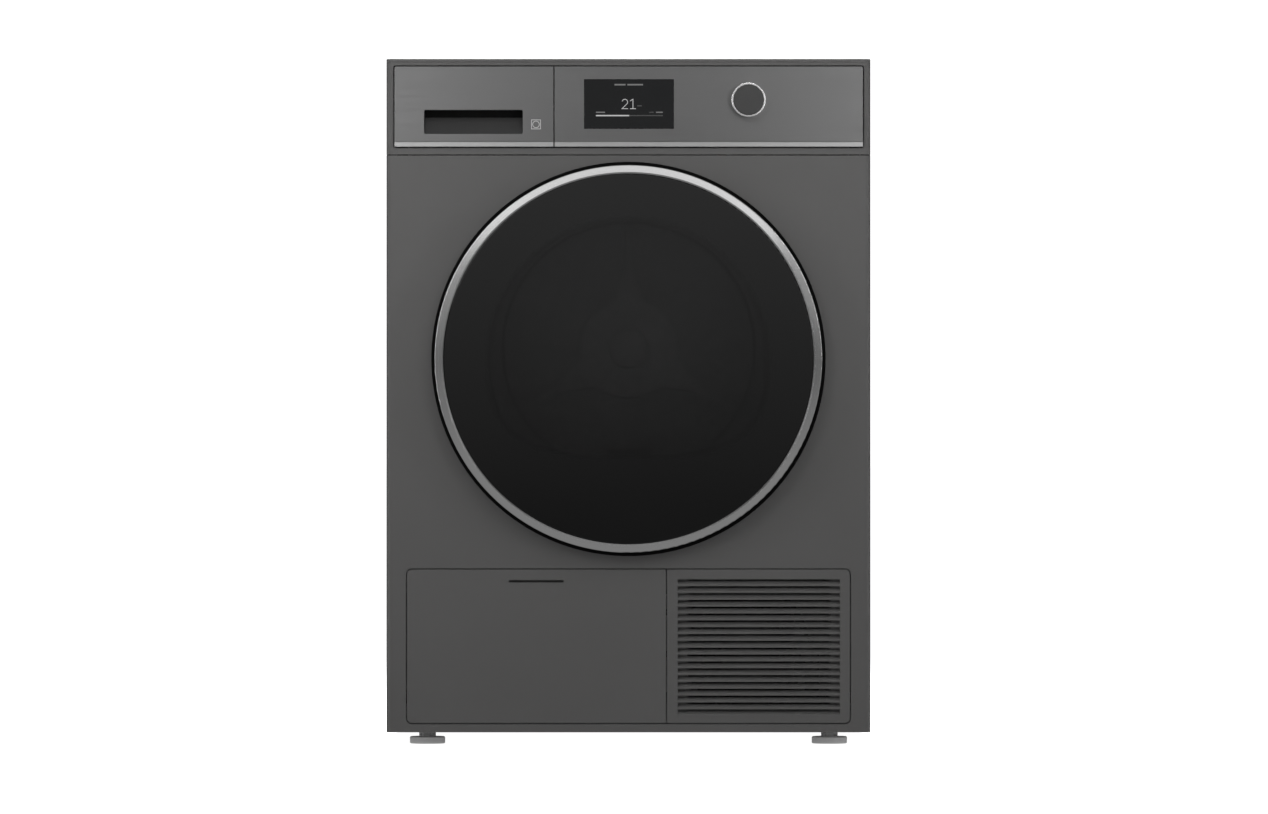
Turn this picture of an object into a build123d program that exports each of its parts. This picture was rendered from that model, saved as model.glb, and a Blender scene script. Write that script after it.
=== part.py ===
"""Free-standing heat-pump tumble dryer, 600 x 655 x 850 mm, front-loading.

Frame: the origin is on the floor, under the middle of the machine. +Z is up, the door faces -Y and
+X is on the right of a person who faces the door. All sizes are millimetres.
"""

from build123d import *

import os

os.makedirs("parts", exist_ok=True)

# --- Driving dimensions -------------------------------------------------------------------------
WIDTH = 600.0
DEPTH = 655.0
HEIGHT = 850.0
DOOR_PROUD = 28.0  # the door ring stands this far in front of the front panel
DUCT_PROUD = 25.2  # the rear duct cover stands this far behind the back panel

HALF_W = WIDTH / 2
RING_FRONT_Y = -DEPTH / 2
PANEL_Y = RING_FRONT_Y + DOOR_PROUD
BACK_Y = DEPTH / 2 - DUCT_PROUD
SHEET = 1.2  # case sheet steel
SHELL = 2.5  # moulded plastic wall of outer pieces
WALL = 3.0  # moulded plastic wall of inner pieces
SEAM = 1.2  # visible joint line between outer panels
CLEAR = 0.3  # gap between neighbouring pieces
RUN = 0.05  # radial clearance of a running fit

# Heights of the case
BASE_Z = 15.3
PANEL_TOP_Z = 730.2
FASCIA_Z = 731.4
LID_Z = 846.2
SKIRT_Z = 826.0
CORNER_R = 6.0  # upright front corners
RETURN_Y = PANEL_Y + 14.5  # front pieces wrap round the corner this far

# Door, seen from the front
DOOR_Z = 478.0
RING_R = 239.8
GLASS_R = 229.4
SURROUND_R = 243.3
TUNNEL_R = 196.0
SURROUND_Y = PANEL_Y - 5.0
HINGE_X = 231.0
HINGE_Y = -317.5
HINGE_PIN_R = 2.5
KNUCKLE_R = 4.0
ARM_OFFSET = 32.0  # the hinge arms stand this far above and below the door centre
ARM_T = 5.0
LATCH_X = -207.0
LATCH_Z = 400.0
LINER_R = 188.0
BOWL_R = 171.5
BULKHEAD_Y = -262.0

# Window into the drum: a circle with a flat floor
WINDOW_R = 174.0
WINDOW_Z = 480.0
WINDOW_FLOOR_Z = 353.0

# Drum
DRUM_Z = 494.0
DRUM_R = 270.0
DRUM_WALL = 1.2
DRUM_FRONT_Y = -225.0
DRUM_REAR_Y = 266.0
REAR_WALL_Y = 262.0
SHAFT_R = 12.0
ROLLER_R = 35.0
ROLLER_X = 143.3
ROLLER_Z = 224.4
ROLLER_PIN_R = 6.0
ROLLER_Y0, ROLLER_Y1 = -190.0, -170.0

# Motor, belt and fan
MOTOR_X = 150.0
MOTOR_Z = 110.0
PULLEY_R = 10.0
MOTOR_SHAFT_R = 6.0
BELT_Y = 150.0
BELT_W = 10.0
BELT_T = 2.0
IDLER_R = 15.0
IDLER_X = 194.4
IDLER_Z = 158.8
IDLER_PIVOT_X = 235.0
IDLER_PIVOT_Z = 95.0
SMALL_PIN_R = 4.0
SCROLL_R = 80.0

# Control panel
FASCIA_Y = PANEL_Y - 4.0
FASCIA_X0, FASCIA_X1 = -290.0, 290.7
FASCIA_Z0, FASCIA_Z1 = 740.7, 840.5
STRIP_TOP_Z = 746.9
DIVIDER_X = -92.2
DISPLAY_X0, DISPLAY_X1 = -55.0, 56.3
DISPLAY_Z0, DISPLAY_Z1 = 763.1, 824.6
KNOB_X, KNOB_Z = 148.7, 798.6
KNOB_R = 21.3
CAP_R = 18.8

# Water tank drawer
TANK_X0, TANK_X1 = -285.0, -97.0
TANK_Z0, TANK_Z1 = 752.0, 836.0
TANK_Y0, TANK_Y1 = -277.0, 110.0
RAIL_Z = 792.0

# Plinth
PLINTH_X = 274.5
PLINTH_Z0, PLINTH_Z1 = 27.0, 217.2
PLINTH_R = 6.5
PLINTH_SPLIT_X = 47.2
FLAP_T = 2.3
FLAP_PIVOT_Y, FLAP_PIVOT_Z = -295.0, 34.0
FLAP_PIN_R = 1.4

# Feet
FOOT_X, FOOT_Y = 250.0, 245.0
FOOT_R = 22.0
FOOT_STEM_R = 5.0

# Water side of the base
FLOOR_Z = BASE_Z + 4.0
COIL_X0, COIL_X1 = -228.0, 25.0
COIL_Z0, COIL_Z1 = 24.0, 182.0

CENTRE = Align.CENTER
LOW = Align.MIN
HIGH = Align.MAX


def block(x0, x1, y0, y1, z0, z1, mode=Mode.ADD):
    """A block between two corners."""
    with Locations(((x0 + x1) / 2, (y0 + y1) / 2, (z0 + z1) / 2)):
        Box(x1 - x0, y1 - y0, z1 - z0, mode=mode)


def rod(radius, x, z, y0, y1, mode=Mode.ADD):
    """A cylinder along Y between two depths."""
    with Locations(Location((x, (y0 + y1) / 2, z), (90, 0, 0))):
        Cylinder(radius, y1 - y0, mode=mode)


def post(radius, x, y, z0, z1, mode=Mode.ADD):
    """A cylinder along Z between two heights."""
    with Locations((x, y, (z0 + z1) / 2)):
        Cylinder(radius, z1 - z0, mode=mode)


def facing(y):
    """The upright plane at depth y, seen from the front: its own x and y are X and Z."""
    return Plane.XZ.offset(-y)


# Outline of the window, used by the bulkhead.
with BuildSketch() as window:
    with Locations((0, WINDOW_Z)):
        Circle(WINDOW_R)
    with Locations((0, WINDOW_FLOOR_Z)):
        Rectangle(2 * WINDOW_R, WINDOW_R, align=(CENTRE, HIGH), mode=Mode.SUBTRACT)

# Outline of the tunnel wall round the window.
with BuildSketch() as tunnel:
    add(window.sketch)
    offset(amount=WALL)

# --- Feet ---------------------------------------------------------------------------------------
# Each foot is a pad with a hexagon for the spanner and a threaded stem up into the base.
for foot_name, foot_x, foot_y in (
    ("foot_front_left", -FOOT_X, -FOOT_Y),
    ("foot_front_right", FOOT_X, -FOOT_Y),
    ("foot_rear_left", -FOOT_X, FOOT_Y),
    ("foot_rear_right", FOOT_X, FOOT_Y),
):
    with BuildPart(Plane((foot_x, foot_y, 0))) as foot:
        Cylinder(FOOT_R, 9.0, align=(CENTRE, CENTRE, LOW))
        chamfer(foot.edges().filter_by(GeomType.CIRCLE), 1.2)
        with BuildSketch(Plane((foot_x, foot_y, 9.0))):
            RegularPolygon(9.0, 6, major_radius=False)
        extrude(amount=6.0)
        Cylinder(FOOT_STEM_R, 46.0, align=(CENTRE, CENTRE, LOW))
    foot.part.label = foot_name
    export_step(foot.part, f"parts/{foot_name}.step")

# --- Base tray ----------------------------------------------------------------------------------
# The moulded base: sump, foot bosses, motor cradle, fan scroll, idler post and flap hinge pins.
TRAY_X = 288.0
TRAY_Y0, TRAY_Y1 = -284.0, 290.0
TRAY_TOP_Z = BASE_Z + 34.0
CRADLE_R = 50.0 + RUN
SCROLL_Y0, SCROLL_Y1 = 248.0, BACK_Y - SHEET - CLEAR
FLAP_BRACKETS = ((-257.5, -1), (29.5, 1))  # outer face of each bracket and the side of its pin

with BuildPart() as base_tray:
    block(-TRAY_X, TRAY_X, TRAY_Y0, TRAY_Y1, BASE_Z, TRAY_TOP_Z)
    fillet(base_tray.edges().filter_by(Axis.Z), 8.0)
    block(-TRAY_X + 4, TRAY_X - 4, TRAY_Y0 + 4, TRAY_Y1 - 4, FLOOR_Z, TRAY_TOP_Z, Mode.SUBTRACT)
    for x in (-FOOT_X, FOOT_X):
        for y in (-FOOT_Y, FOOT_Y):
            post(17.0, x, y, FLOOR_Z, FLOOR_Z + 24)
            post(FOOT_STEM_R + RUN, x, y, BASE_Z, FLOOR_Z + 24, Mode.SUBTRACT)
    for y in (176.0, 226.0):
        block(MOTOR_X - 34, MOTOR_X + 34, y, y + 8, FLOOR_Z, 82.0)
    rod(CRADLE_R, MOTOR_X, MOTOR_Z, 170.0, 240.0, Mode.SUBTRACT)
    block(IDLER_PIVOT_X - 9, IDLER_PIVOT_X + 9, 168.5, 178.0, FLOOR_Z, IDLER_PIVOT_Z + 9)
    rod(SMALL_PIN_R, IDLER_PIVOT_X, IDLER_PIVOT_Z, 160.5, 168.5)
    block(MOTOR_X - 30, MOTOR_X + 30, SCROLL_Y0, SCROLL_Y1 - 12, FLOOR_Z, 40.0)
    rod(SCROLL_R + 3, MOTOR_X, MOTOR_Z, SCROLL_Y0, SCROLL_Y1)
    rod(SCROLL_R, MOTOR_X, MOTOR_Z, SCROLL_Y0 + 3, SCROLL_Y1, Mode.SUBTRACT)
    rod(45.0, MOTOR_X, MOTOR_Z, SCROLL_Y0, SCROLL_Y0 + 3, Mode.SUBTRACT)
    for face_x, side in FLAP_BRACKETS:
        with BuildSketch(Plane.YZ.offset(face_x)):
            with Locations((FLAP_PIVOT_Y, FLAP_PIVOT_Z)):
                Circle(1.8)
                Rectangle(TRAY_Y0 - FLAP_PIVOT_Y, 3.6, align=(LOW, CENTRE))
        extrude(amount=-4.0 * side)
        with BuildSketch(Plane.YZ.offset(face_x)):
            with Locations((FLAP_PIVOT_Y, FLAP_PIVOT_Z)):
                Circle(FLAP_PIN_R)
        extrude(amount=5.5 * side)
base_tray.part.label = "base_tray"
export_step(base_tray.part, "parts/base_tray.step")

# --- Case panels --------------------------------------------------------------------------------
# Each side panel is folded inwards along its front and rear edges.
for side_name, side in (("left_side_panel", -1), ("right_side_panel", 1)):
    with BuildPart() as side_panel:
        with BuildSketch(Plane.XY.offset(BASE_Z)):
            with BuildLine():
                FilletPolyline(
                    (side * (HALF_W - 12), RETURN_Y + CLEAR),
                    (side * HALF_W, RETURN_Y + CLEAR),
                    (side * HALF_W, BACK_Y - SHEET - CLEAR),
                    (side * (HALF_W - 14), BACK_Y - SHEET - CLEAR),
                    radius=1.5,
                )
                offset(amount=SHEET, side=Side.LEFT if side > 0 else Side.RIGHT)
            make_face()
        extrude(amount=SKIRT_Z - CLEAR - BASE_Z)
        with Locations((side * (HALF_W - 7.5), RETURN_Y, RAIL_Z)):
            Box(12.0, 6.0, 18.0, mode=Mode.SUBTRACT)
    side_panel.part.label = side_name
    export_step(side_panel.part, f"parts/{side_name}.step")

with BuildPart() as front_panel:
    with BuildSketch(Plane.XY.offset(BASE_Z)):
        with Locations((0, PANEL_Y + 20)):
            RectangleRounded(WIDTH, 40, CORNER_R)
            RectangleRounded(WIDTH - 2 * SHEET, 40 - 2 * SHEET, CORNER_R - SHEET, mode=Mode.SUBTRACT)
        with Locations((0, RETURN_Y)):
            Rectangle(WIDTH, 40, align=(CENTRE, LOW), mode=Mode.SUBTRACT)
    extrude(amount=PANEL_TOP_Z - BASE_Z)
    with BuildSketch(facing(PANEL_Y)):
        with Locations((0, DOOR_Z)):
            Circle(TUNNEL_R + 4)
        with Locations((LATCH_X, LATCH_Z)):
            Rectangle(14, 24)
        with Locations((0, (PLINTH_Z0 + PLINTH_Z1) / 2 - 0.25)):
            RectangleRounded(2 * (PLINTH_X + SEAM), PLINTH_Z1 - PLINTH_Z0 + 2.9, PLINTH_R + SEAM)
    extrude(amount=-2 * SHEET, mode=Mode.SUBTRACT)
front_panel.part.label = "front_panel"
export_step(front_panel.part, "parts/front_panel.step")

with BuildPart() as top_panel:
    with BuildSketch(Plane.XY.offset(LID_Z)) as lid_plan:
        with Locations((0, PANEL_Y)):
            Rectangle(WIDTH, BACK_Y - PANEL_Y, align=(CENTRE, LOW))
        fillet(lid_plan.vertices().group_by(Axis.Y)[0], CORNER_R)
        fillet(lid_plan.vertices().group_by(Axis.Y)[-1], 3.0)
    extrude(amount=HEIGHT - LID_Z)
    fillet(top_panel.faces().sort_by(Axis.Z)[-1].edges(), 1.4)
    with BuildSketch(Plane.XY.offset(SKIRT_Z)) as skirt_plan:
        with Locations((0, RETURN_Y + CLEAR)):
            Rectangle(WIDTH, BACK_Y - RETURN_Y - CLEAR, align=(CENTRE, LOW))
        fillet(skirt_plan.vertices().group_by(Axis.Y)[-1], 3.0)
        with Locations((0, RETURN_Y + CLEAR)):
            Rectangle(
                WIDTH - 4, BACK_Y - RETURN_Y - CLEAR - 2, align=(CENTRE, LOW), mode=Mode.SUBTRACT
            )
    extrude(amount=LID_Z - SKIRT_Z)
top_panel.part.label = "top_panel"
export_step(top_panel.part, "parts/top_panel.step")

# The back panel lets the fan blow into the duct cover, and the duct cover into the drum.
DUCT_R = 222.0
DUCT_FOOT_R = 78.0
with BuildPart() as back_panel:
    block(-HALF_W + 1.5, HALF_W - 1.5, BACK_Y - SHEET, BACK_Y, BASE_Z, SKIRT_Z - CLEAR)
    with BuildSketch(facing(BACK_Y)):
        with Locations((MOTOR_X, MOTOR_Z)):
            Circle(60.0)
        with Locations((0, DRUM_Z)):
            Circle(200.0)
            Circle(115.0, mode=Mode.SUBTRACT)
            with PolarLocations(157, 3, start_angle=30):
                Rectangle(100, 60, mode=Mode.SUBTRACT)
        with Locations((-190, 110)):
            with GridLocations(16, 60, 7, 2):
                SlotOverall(46, 5, rotation=90)
    extrude(amount=-2 * SHEET, mode=Mode.SUBTRACT)
    for rib_x in (-262.0, 262.0):
        block(rib_x - 9, rib_x + 9, BACK_Y, BACK_Y + 2.4, 260.0, 760.0)
    fillet(back_panel.faces().filter_by(Axis.Y).sort_by(Axis.Y)[-2:].edges(), 2.0)
back_panel.part.label = "back_panel"
export_step(back_panel.part, "parts/back_panel.step")

with BuildPart() as rear_duct_cover:
    with BuildSketch(facing(BACK_Y)) as duct_outline:
        with Locations((0, DRUM_Z)):
            Circle(DUCT_R)
        with Locations((MOTOR_X, MOTOR_Z)):
            Circle(DUCT_FOOT_R)
        make_hull()
    extrude(amount=-DUCT_PROUD)
    fillet(rear_duct_cover.faces().sort_by(Axis.Y)[-1].edges(), 12.0)
    with BuildSketch(facing(BACK_Y)):
        add(duct_outline.sketch_local)
        offset(amount=-SHELL)
    extrude(amount=-(DUCT_PROUD - 12.0), mode=Mode.SUBTRACT)
    with BuildSketch(facing(BACK_Y)):
        add(duct_outline.sketch_local)
        offset(amount=-13.0)
    extrude(amount=-(DUCT_PROUD - SHELL), mode=Mode.SUBTRACT)
    with BuildSketch(facing(BACK_Y)):
        with Locations((0, DRUM_Z)):
            with PolarLocations(DUCT_R + 7, 5, start_angle=20, angular_range=180, endpoint=True):
                Circle(9.0)
            Circle(DUCT_R - 1, mode=Mode.SUBTRACT)
    extrude(amount=-3.0)
rear_duct_cover.part.label = "rear_duct_cover"
export_step(rear_duct_cover.part, "parts/rear_duct_cover.step")

# Screws that hold the back panel and the duct cover: pan heads on short shanks.
with BuildPart() as case_screws:
    screw_spots = [(x, z) for x in (-290.0, 290.0) for z in (60.0, 230.0, 420.0, 610.0, 790.0)]
    screw_spots += [(x, SKIRT_Z - 14) for x in (-150.0, 0.0, 150.0)]
    for screw_x, screw_z in screw_spots:
        rod(4.2, screw_x, screw_z, BACK_Y, BACK_Y + 2.6)
    fillet(case_screws.faces().filter_by(Axis.Y).group_by(Axis.Y)[-1].edges(), 1.2)
case_screws.part.label = "case_screws"
export_step(case_screws.part, "parts/case_screws.step")

# Power inlet: a gland with a blind socket for the supply cord.
GLAND_X, GLAND_Z = -262.0, 225.0
with BuildPart() as mains_gland:
    with Locations((GLAND_X, BACK_Y + 3, GLAND_Z)):
        Box(32, 6, 26)
    fillet(mains_gland.edges().filter_by(Axis.Y), 4.0)
    rod(9.0, GLAND_X, GLAND_Z, BACK_Y + 6, BACK_Y + 16)
    rod(4.0, GLAND_X, GLAND_Z, BACK_Y + 4, BACK_Y + 16, Mode.SUBTRACT)
mains_gland.part.label = "mains_gland"
export_step(mains_gland.part, "parts/mains_gland.step")

# Spigot for an optional drain hose, with a barbed end.
SPIGOT_X, SPIGOT_Z = 262.0, 225.0
with BuildPart() as drain_spigot:
    with Locations((SPIGOT_X, BACK_Y + 2, SPIGOT_Z)):
        Box(30, 4, 30)
    fillet(drain_spigot.edges().filter_by(Axis.Y), 5.0)
    rod(6.0, SPIGOT_X, SPIGOT_Z, BACK_Y + 4, BACK_Y + 22)
    for barb_y in (9.0, 14.0, 19.0):
        rod(6.9, SPIGOT_X, SPIGOT_Z, BACK_Y + barb_y, BACK_Y + barb_y + 1.6)
    rod(4.2, SPIGOT_X, SPIGOT_Z, BACK_Y + 1, BACK_Y + 22, Mode.SUBTRACT)
drain_spigot.part.label = "drain_spigot"
export_step(drain_spigot.part, "parts/drain_spigot.step")

# --- Drum opening -------------------------------------------------------------------------------
# Black ring on the front panel and the tunnel behind it. The latch hook passes through a slot in its
# left side and the hinge plate is sunk into its right side.
PLATE_X0, PLATE_X1 = 204.0, 224.0
PLATE_HALF = 45.0
PLATE_T = 2.0
with BuildPart() as door_surround:
    with BuildSketch(facing(SURROUND_Y)):
        with Locations((0, DOOR_Z)):
            Circle(SURROUND_R)
    extrude(amount=-(PANEL_Y - SURROUND_Y))
    fillet(door_surround.faces().sort_by(Axis.Y)[0].edges(), 2.0)
    rod(TUNNEL_R + WALL, 0, DOOR_Z, PANEL_Y, BULKHEAD_Y - CLEAR)
    rod(TUNNEL_R, 0, DOOR_Z, SURROUND_Y, BULKHEAD_Y, Mode.SUBTRACT)
    block(LATCH_X - 5, LATCH_X + 5, SURROUND_Y, PANEL_Y, LATCH_Z - 9, LATCH_Z + 9, Mode.SUBTRACT)
    block(
        PLATE_X0,
        PLATE_X1,
        SURROUND_Y,
        SURROUND_Y + PLATE_T,
        DOOR_Z - PLATE_HALF,
        DOOR_Z + PLATE_HALF,
        Mode.SUBTRACT,
    )
door_surround.part.label = "door_surround"
export_step(door_surround.part, "parts/door_surround.step")

# Front bearing shield: plate, D-shaped tunnel into the drum, collar for the felt, filter pocket
# and the two pins that carry the support rollers.
COLLAR_R = 262.0
COLLAR_Y = -205.0
POCKET_X = 113.0
POCKET_Y0, POCKET_Y1 = -258.0, -231.0
POCKET_Z0 = 236.0
with BuildPart() as front_bulkhead:
    block(-288.0, 288.0, BULKHEAD_Y, BULKHEAD_Y + WALL, 186.0, 729.0)
    fillet(front_bulkhead.edges().filter_by(Axis.Y), 20.0)
    rod(COLLAR_R, 0, DRUM_Z, BULKHEAD_Y, COLLAR_Y)
    with BuildSketch(facing(BULKHEAD_Y + WALL)):
        with Locations((0, DRUM_Z)):
            Circle(COLLAR_R - WALL)
        add(tunnel.sketch, mode=Mode.SUBTRACT)
        with Locations((0, WINDOW_FLOOR_Z)):
            Rectangle(2 * (POCKET_X + WALL), 130, align=(CENTRE, HIGH), mode=Mode.SUBTRACT)
    extrude(amount=-(DRUM_FRONT_Y - BULKHEAD_Y - WALL), mode=Mode.SUBTRACT)
    rod(COLLAR_R - WALL, 0, DRUM_Z, DRUM_FRONT_Y + WALL, COLLAR_Y, Mode.SUBTRACT)
    with BuildSketch(facing(BULKHEAD_Y)):
        add(window.sketch)
    extrude(amount=-(DRUM_FRONT_Y + WALL - BULKHEAD_Y), mode=Mode.SUBTRACT)
    block(-POCKET_X, POCKET_X, POCKET_Y0, POCKET_Y1, POCKET_Z0 - 8, WINDOW_FLOOR_Z, Mode.SUBTRACT)
    for side in (-1, 1):
        rod(ROLLER_PIN_R, side * ROLLER_X, ROLLER_Z, BULKHEAD_Y + WALL, ROLLER_Y1 + 4)
front_bulkhead.part.label = "front_bulkhead"
export_step(front_bulkhead.part, "parts/front_bulkhead.step")

with BuildPart() as drum_felt_seal:
    rod(DRUM_R - DRUM_WALL - CLEAR, 0, DRUM_Z, -222.0, COLLAR_Y - 1)
    rod(COLLAR_R, 0, DRUM_Z, -222.0, COLLAR_Y - 1, Mode.SUBTRACT)
drum_felt_seal.part.label = "drum_felt_seal"
export_step(drum_felt_seal.part, "parts/drum_felt_seal.step")

# Lint filter: a flange that rests on the window floor, a frame and a fine mesh, and a grip.
FILTER_Z = WINDOW_FLOOR_Z + CLEAR
with BuildPart() as lint_filter:
    block(-112.0, 112.0, -257.0, -229.0, FILTER_Z, FILTER_Z + 2.5)
    fillet(lint_filter.edges().filter_by(Axis.Z), 4.0)
    block(-109.0, 109.0, -255.0, -234.0, 242.0, FILTER_Z)
    block(-106.5, 106.5, -252.5, -236.5, 244.5, FILTER_Z, Mode.SUBTRACT)
    with BuildSketch(facing(-255.0)):
        with Locations((0, 297.0)):
            with GridLocations(53, 50, 4, 2):
                Rectangle(48, 45)
    extrude(amount=-21.0, mode=Mode.SUBTRACT)
    block(-107.0, 107.0, -245.6, -244.4, 244.0, FILTER_Z)
    block(-28.0, 28.0, -250.0, -246.0, FILTER_Z + 2.5, FILTER_Z + 13)
    block(-28.0, 28.0, -250.0, -238.0, FILTER_Z + 10, FILTER_Z + 13)
lint_filter.part.label = "lint_filter"
export_step(lint_filter.part, "parts/lint_filter.step")

# --- Drum ---------------------------------------------------------------------------------------
with BuildPart() as drum_shell:
    with BuildSketch(Plane.XY.offset(DRUM_Z)):
        with BuildLine():
            Polyline(
                (DRUM_R - DRUM_WALL, DRUM_FRONT_Y),
                (DRUM_R, DRUM_FRONT_Y),
                (DRUM_R, BELT_Y - 14),
                (DRUM_R - 1.5, BELT_Y - 10),
                (DRUM_R - 1.5, BELT_Y + BELT_W + 10),
                (DRUM_R, BELT_Y + BELT_W + 14),
                (DRUM_R, DRUM_REAR_Y),
                (DRUM_R - DRUM_WALL, DRUM_REAR_Y),
                (DRUM_R - DRUM_WALL, BELT_Y + BELT_W + 14),
                (DRUM_R - 1.5 - DRUM_WALL, BELT_Y + BELT_W + 10),
                (DRUM_R - 1.5 - DRUM_WALL, BELT_Y - 10),
                (DRUM_R - DRUM_WALL, BELT_Y - 14),
                close=True,
            )
        make_face()
    revolve(axis=Axis((0, 0, DRUM_Z), (0, 1, 0)))
drum_shell.part.label = "drum_shell"
export_step(drum_shell.part, "parts/drum_shell.step")

# The rear wall is perforated outside the star and has a pressed step round it.
HOLE_RINGS = ((182.0, 48), (196.0, 52), (210.0, 56), (224.0, 60), (238.0, 64))
with BuildPart() as drum_rear_wall:
    rod(DRUM_R - DRUM_WALL, 0, DRUM_Z, REAR_WALL_Y, REAR_WALL_Y + 1.5)
    rod(165.0, 0, DRUM_Z, REAR_WALL_Y - 5, REAR_WALL_Y + 1.5)
    chamfer(drum_rear_wall.faces().sort_by(Axis.Y)[0].edges(), 4.5)
    rod(159.0, 0, DRUM_Z, REAR_WALL_Y - 3.5, REAR_WALL_Y + 1.5, Mode.SUBTRACT)
    with BuildSketch(facing(REAR_WALL_Y)):
        with Locations((0, DRUM_Z)):
            Circle(SHAFT_R)
            for ring_r, ring_count in HOLE_RINGS:
                with PolarLocations(ring_r, ring_count):
                    Circle(2.6)
    extrude(amount=-1.5, mode=Mode.SUBTRACT)
    rod(SHAFT_R, 0, DRUM_Z, REAR_WALL_Y - 5, REAR_WALL_Y + 1.5, Mode.SUBTRACT)
drum_rear_wall.part.label = "drum_rear_wall"
export_step(drum_rear_wall.part, "parts/drum_rear_wall.step")

# Three-armed hub inside the drum with its shaft through the rear wall.
HUB_Y = REAR_WALL_Y - 5
with BuildPart() as drum_hub:
    with BuildSketch(facing(HUB_Y)):
        with Locations((0, DRUM_Z)):
            Circle(65.0)
            with PolarLocations(0, 3, start_angle=90):
                Polygon((58, 24), (108, 5), (158, 4), (158, -4), (108, -5), (58, -24), align=None)
    extrude(amount=9.0)
    fillet(drum_hub.faces().sort_by(Axis.Y)[0].edges(), 2.0)
    rod(48.0, 0, DRUM_Z, HUB_Y - 9, HUB_Y - 5, Mode.SUBTRACT)
    rod(26.0, 0, DRUM_Z, HUB_Y - 11, HUB_Y)
    fillet(drum_hub.faces().sort_by(Axis.Y)[0].edges(), 2.5)
    rod(SHAFT_R, 0, DRUM_Z, HUB_Y, 299.0)
drum_hub.part.label = "drum_hub"
export_step(drum_hub.part, "parts/drum_hub.step")

# Three lifters, half way between the arms of the hub.
LIFTER_TIP_R = 205.0
with BuildPart() as drum_lifters:
    with BuildSketch(facing(-195.0)) as lifter_plan:
        with Locations((0, DRUM_Z)):
            with PolarLocations(0, 3, start_angle=30):
                Polygon((264, 34), (264, -34), (LIFTER_TIP_R, -9), (LIFTER_TIP_R, 9), align=None)
        fillet(lifter_plan.vertices(), 5.0)
    extrude(amount=-435.0)
    fillet(drum_lifters.faces().sort_by(Axis.Y)[:3].edges(), 4.0)
drum_lifters.part.label = "drum_lifters"
export_step(drum_lifters.part, "parts/drum_lifters.step")

# Flanged bearing on the back panel.
with BuildPart() as drum_bearing:
    rod(60.0, 0, DRUM_Z, BACK_Y - SHEET - 4, BACK_Y - SHEET)
    rod(28.0, 0, DRUM_Z, 276.0, BACK_Y - SHEET)
    fillet(drum_bearing.edges().filter_by(GeomType.CIRCLE).group_by(Axis.Y)[0], 2.0)
    rod(SHAFT_R + RUN, 0, DRUM_Z, 276.0, BACK_Y - SHEET, Mode.SUBTRACT)
drum_bearing.part.label = "drum_bearing"
export_step(drum_bearing.part, "parts/drum_bearing.step")

# Support rollers under the front of the drum.
for roller_name, side in (("support_roller_left", -1), ("support_roller_right", 1)):
    with BuildPart() as support_roller:
        rod(ROLLER_R, side * ROLLER_X, ROLLER_Z, ROLLER_Y0, ROLLER_Y1)
        chamfer(support_roller.edges().filter_by(GeomType.CIRCLE), 1.5)
        for web_y in (ROLLER_Y0, ROLLER_Y1 - 5):
            rod(ROLLER_R - 6, side * ROLLER_X, ROLLER_Z, web_y, web_y + 5, Mode.SUBTRACT)
        rod(11.0, side * ROLLER_X, ROLLER_Z, ROLLER_Y0, ROLLER_Y1)
        rod(ROLLER_PIN_R + RUN, side * ROLLER_X, ROLLER_Z, ROLLER_Y0, ROLLER_Y1, Mode.SUBTRACT)
    support_roller.part.label = roller_name
    export_step(support_roller.part, f"parts/{roller_name}.step")

# --- Drive, fan and heat pump -------------------------------------------------------------------
# The belt is the hull of the drum and the motor pulley.
with BuildPart() as drive_belt:
    with BuildSketch(facing(BELT_Y)) as belt_plan:
        with Locations((0, DRUM_Z)):
            Circle(DRUM_R + CLEAR + BELT_T)
        with Locations((MOTOR_X, MOTOR_Z)):
            Circle(PULLEY_R + CLEAR + BELT_T)
        make_hull()
        offset(amount=-BELT_T, mode=Mode.SUBTRACT)
    extrude(amount=-BELT_W)
drive_belt.part.label = "drive_belt"
export_step(drive_belt.part, "parts/drive_belt.step")

with BuildPart() as drive_motor:
    rod(50.0, MOTOR_X, MOTOR_Z, 172.0, 238.0)
    fillet(drive_motor.edges().filter_by(GeomType.CIRCLE), 7.0)
    rod(16.0, MOTOR_X, MOTOR_Z, 169.0, 241.0)
    rod(MOTOR_SHAFT_R + RUN, MOTOR_X, MOTOR_Z, 169.0, 241.0, Mode.SUBTRACT)
drive_motor.part.label = "drive_motor"
export_step(drive_motor.part, "parts/drive_motor.step")

with BuildPart() as motor_shaft:
    rod(MOTOR_SHAFT_R, MOTOR_X, MOTOR_Z, 145.0, 290.0)
    rod(PULLEY_R, MOTOR_X, MOTOR_Z, 146.0, 165.0)
    for flange_y in (146.0, 162.5):
        rod(PULLEY_R + 4, MOTOR_X, MOTOR_Z, flange_y, flange_y + 2.5)
    chamfer(motor_shaft.faces().sort_by(Axis.Y)[0].edges(), 0.8)
motor_shaft.part.label = "motor_shaft"
export_step(motor_shaft.part, "parts/motor_shaft.step")

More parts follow.
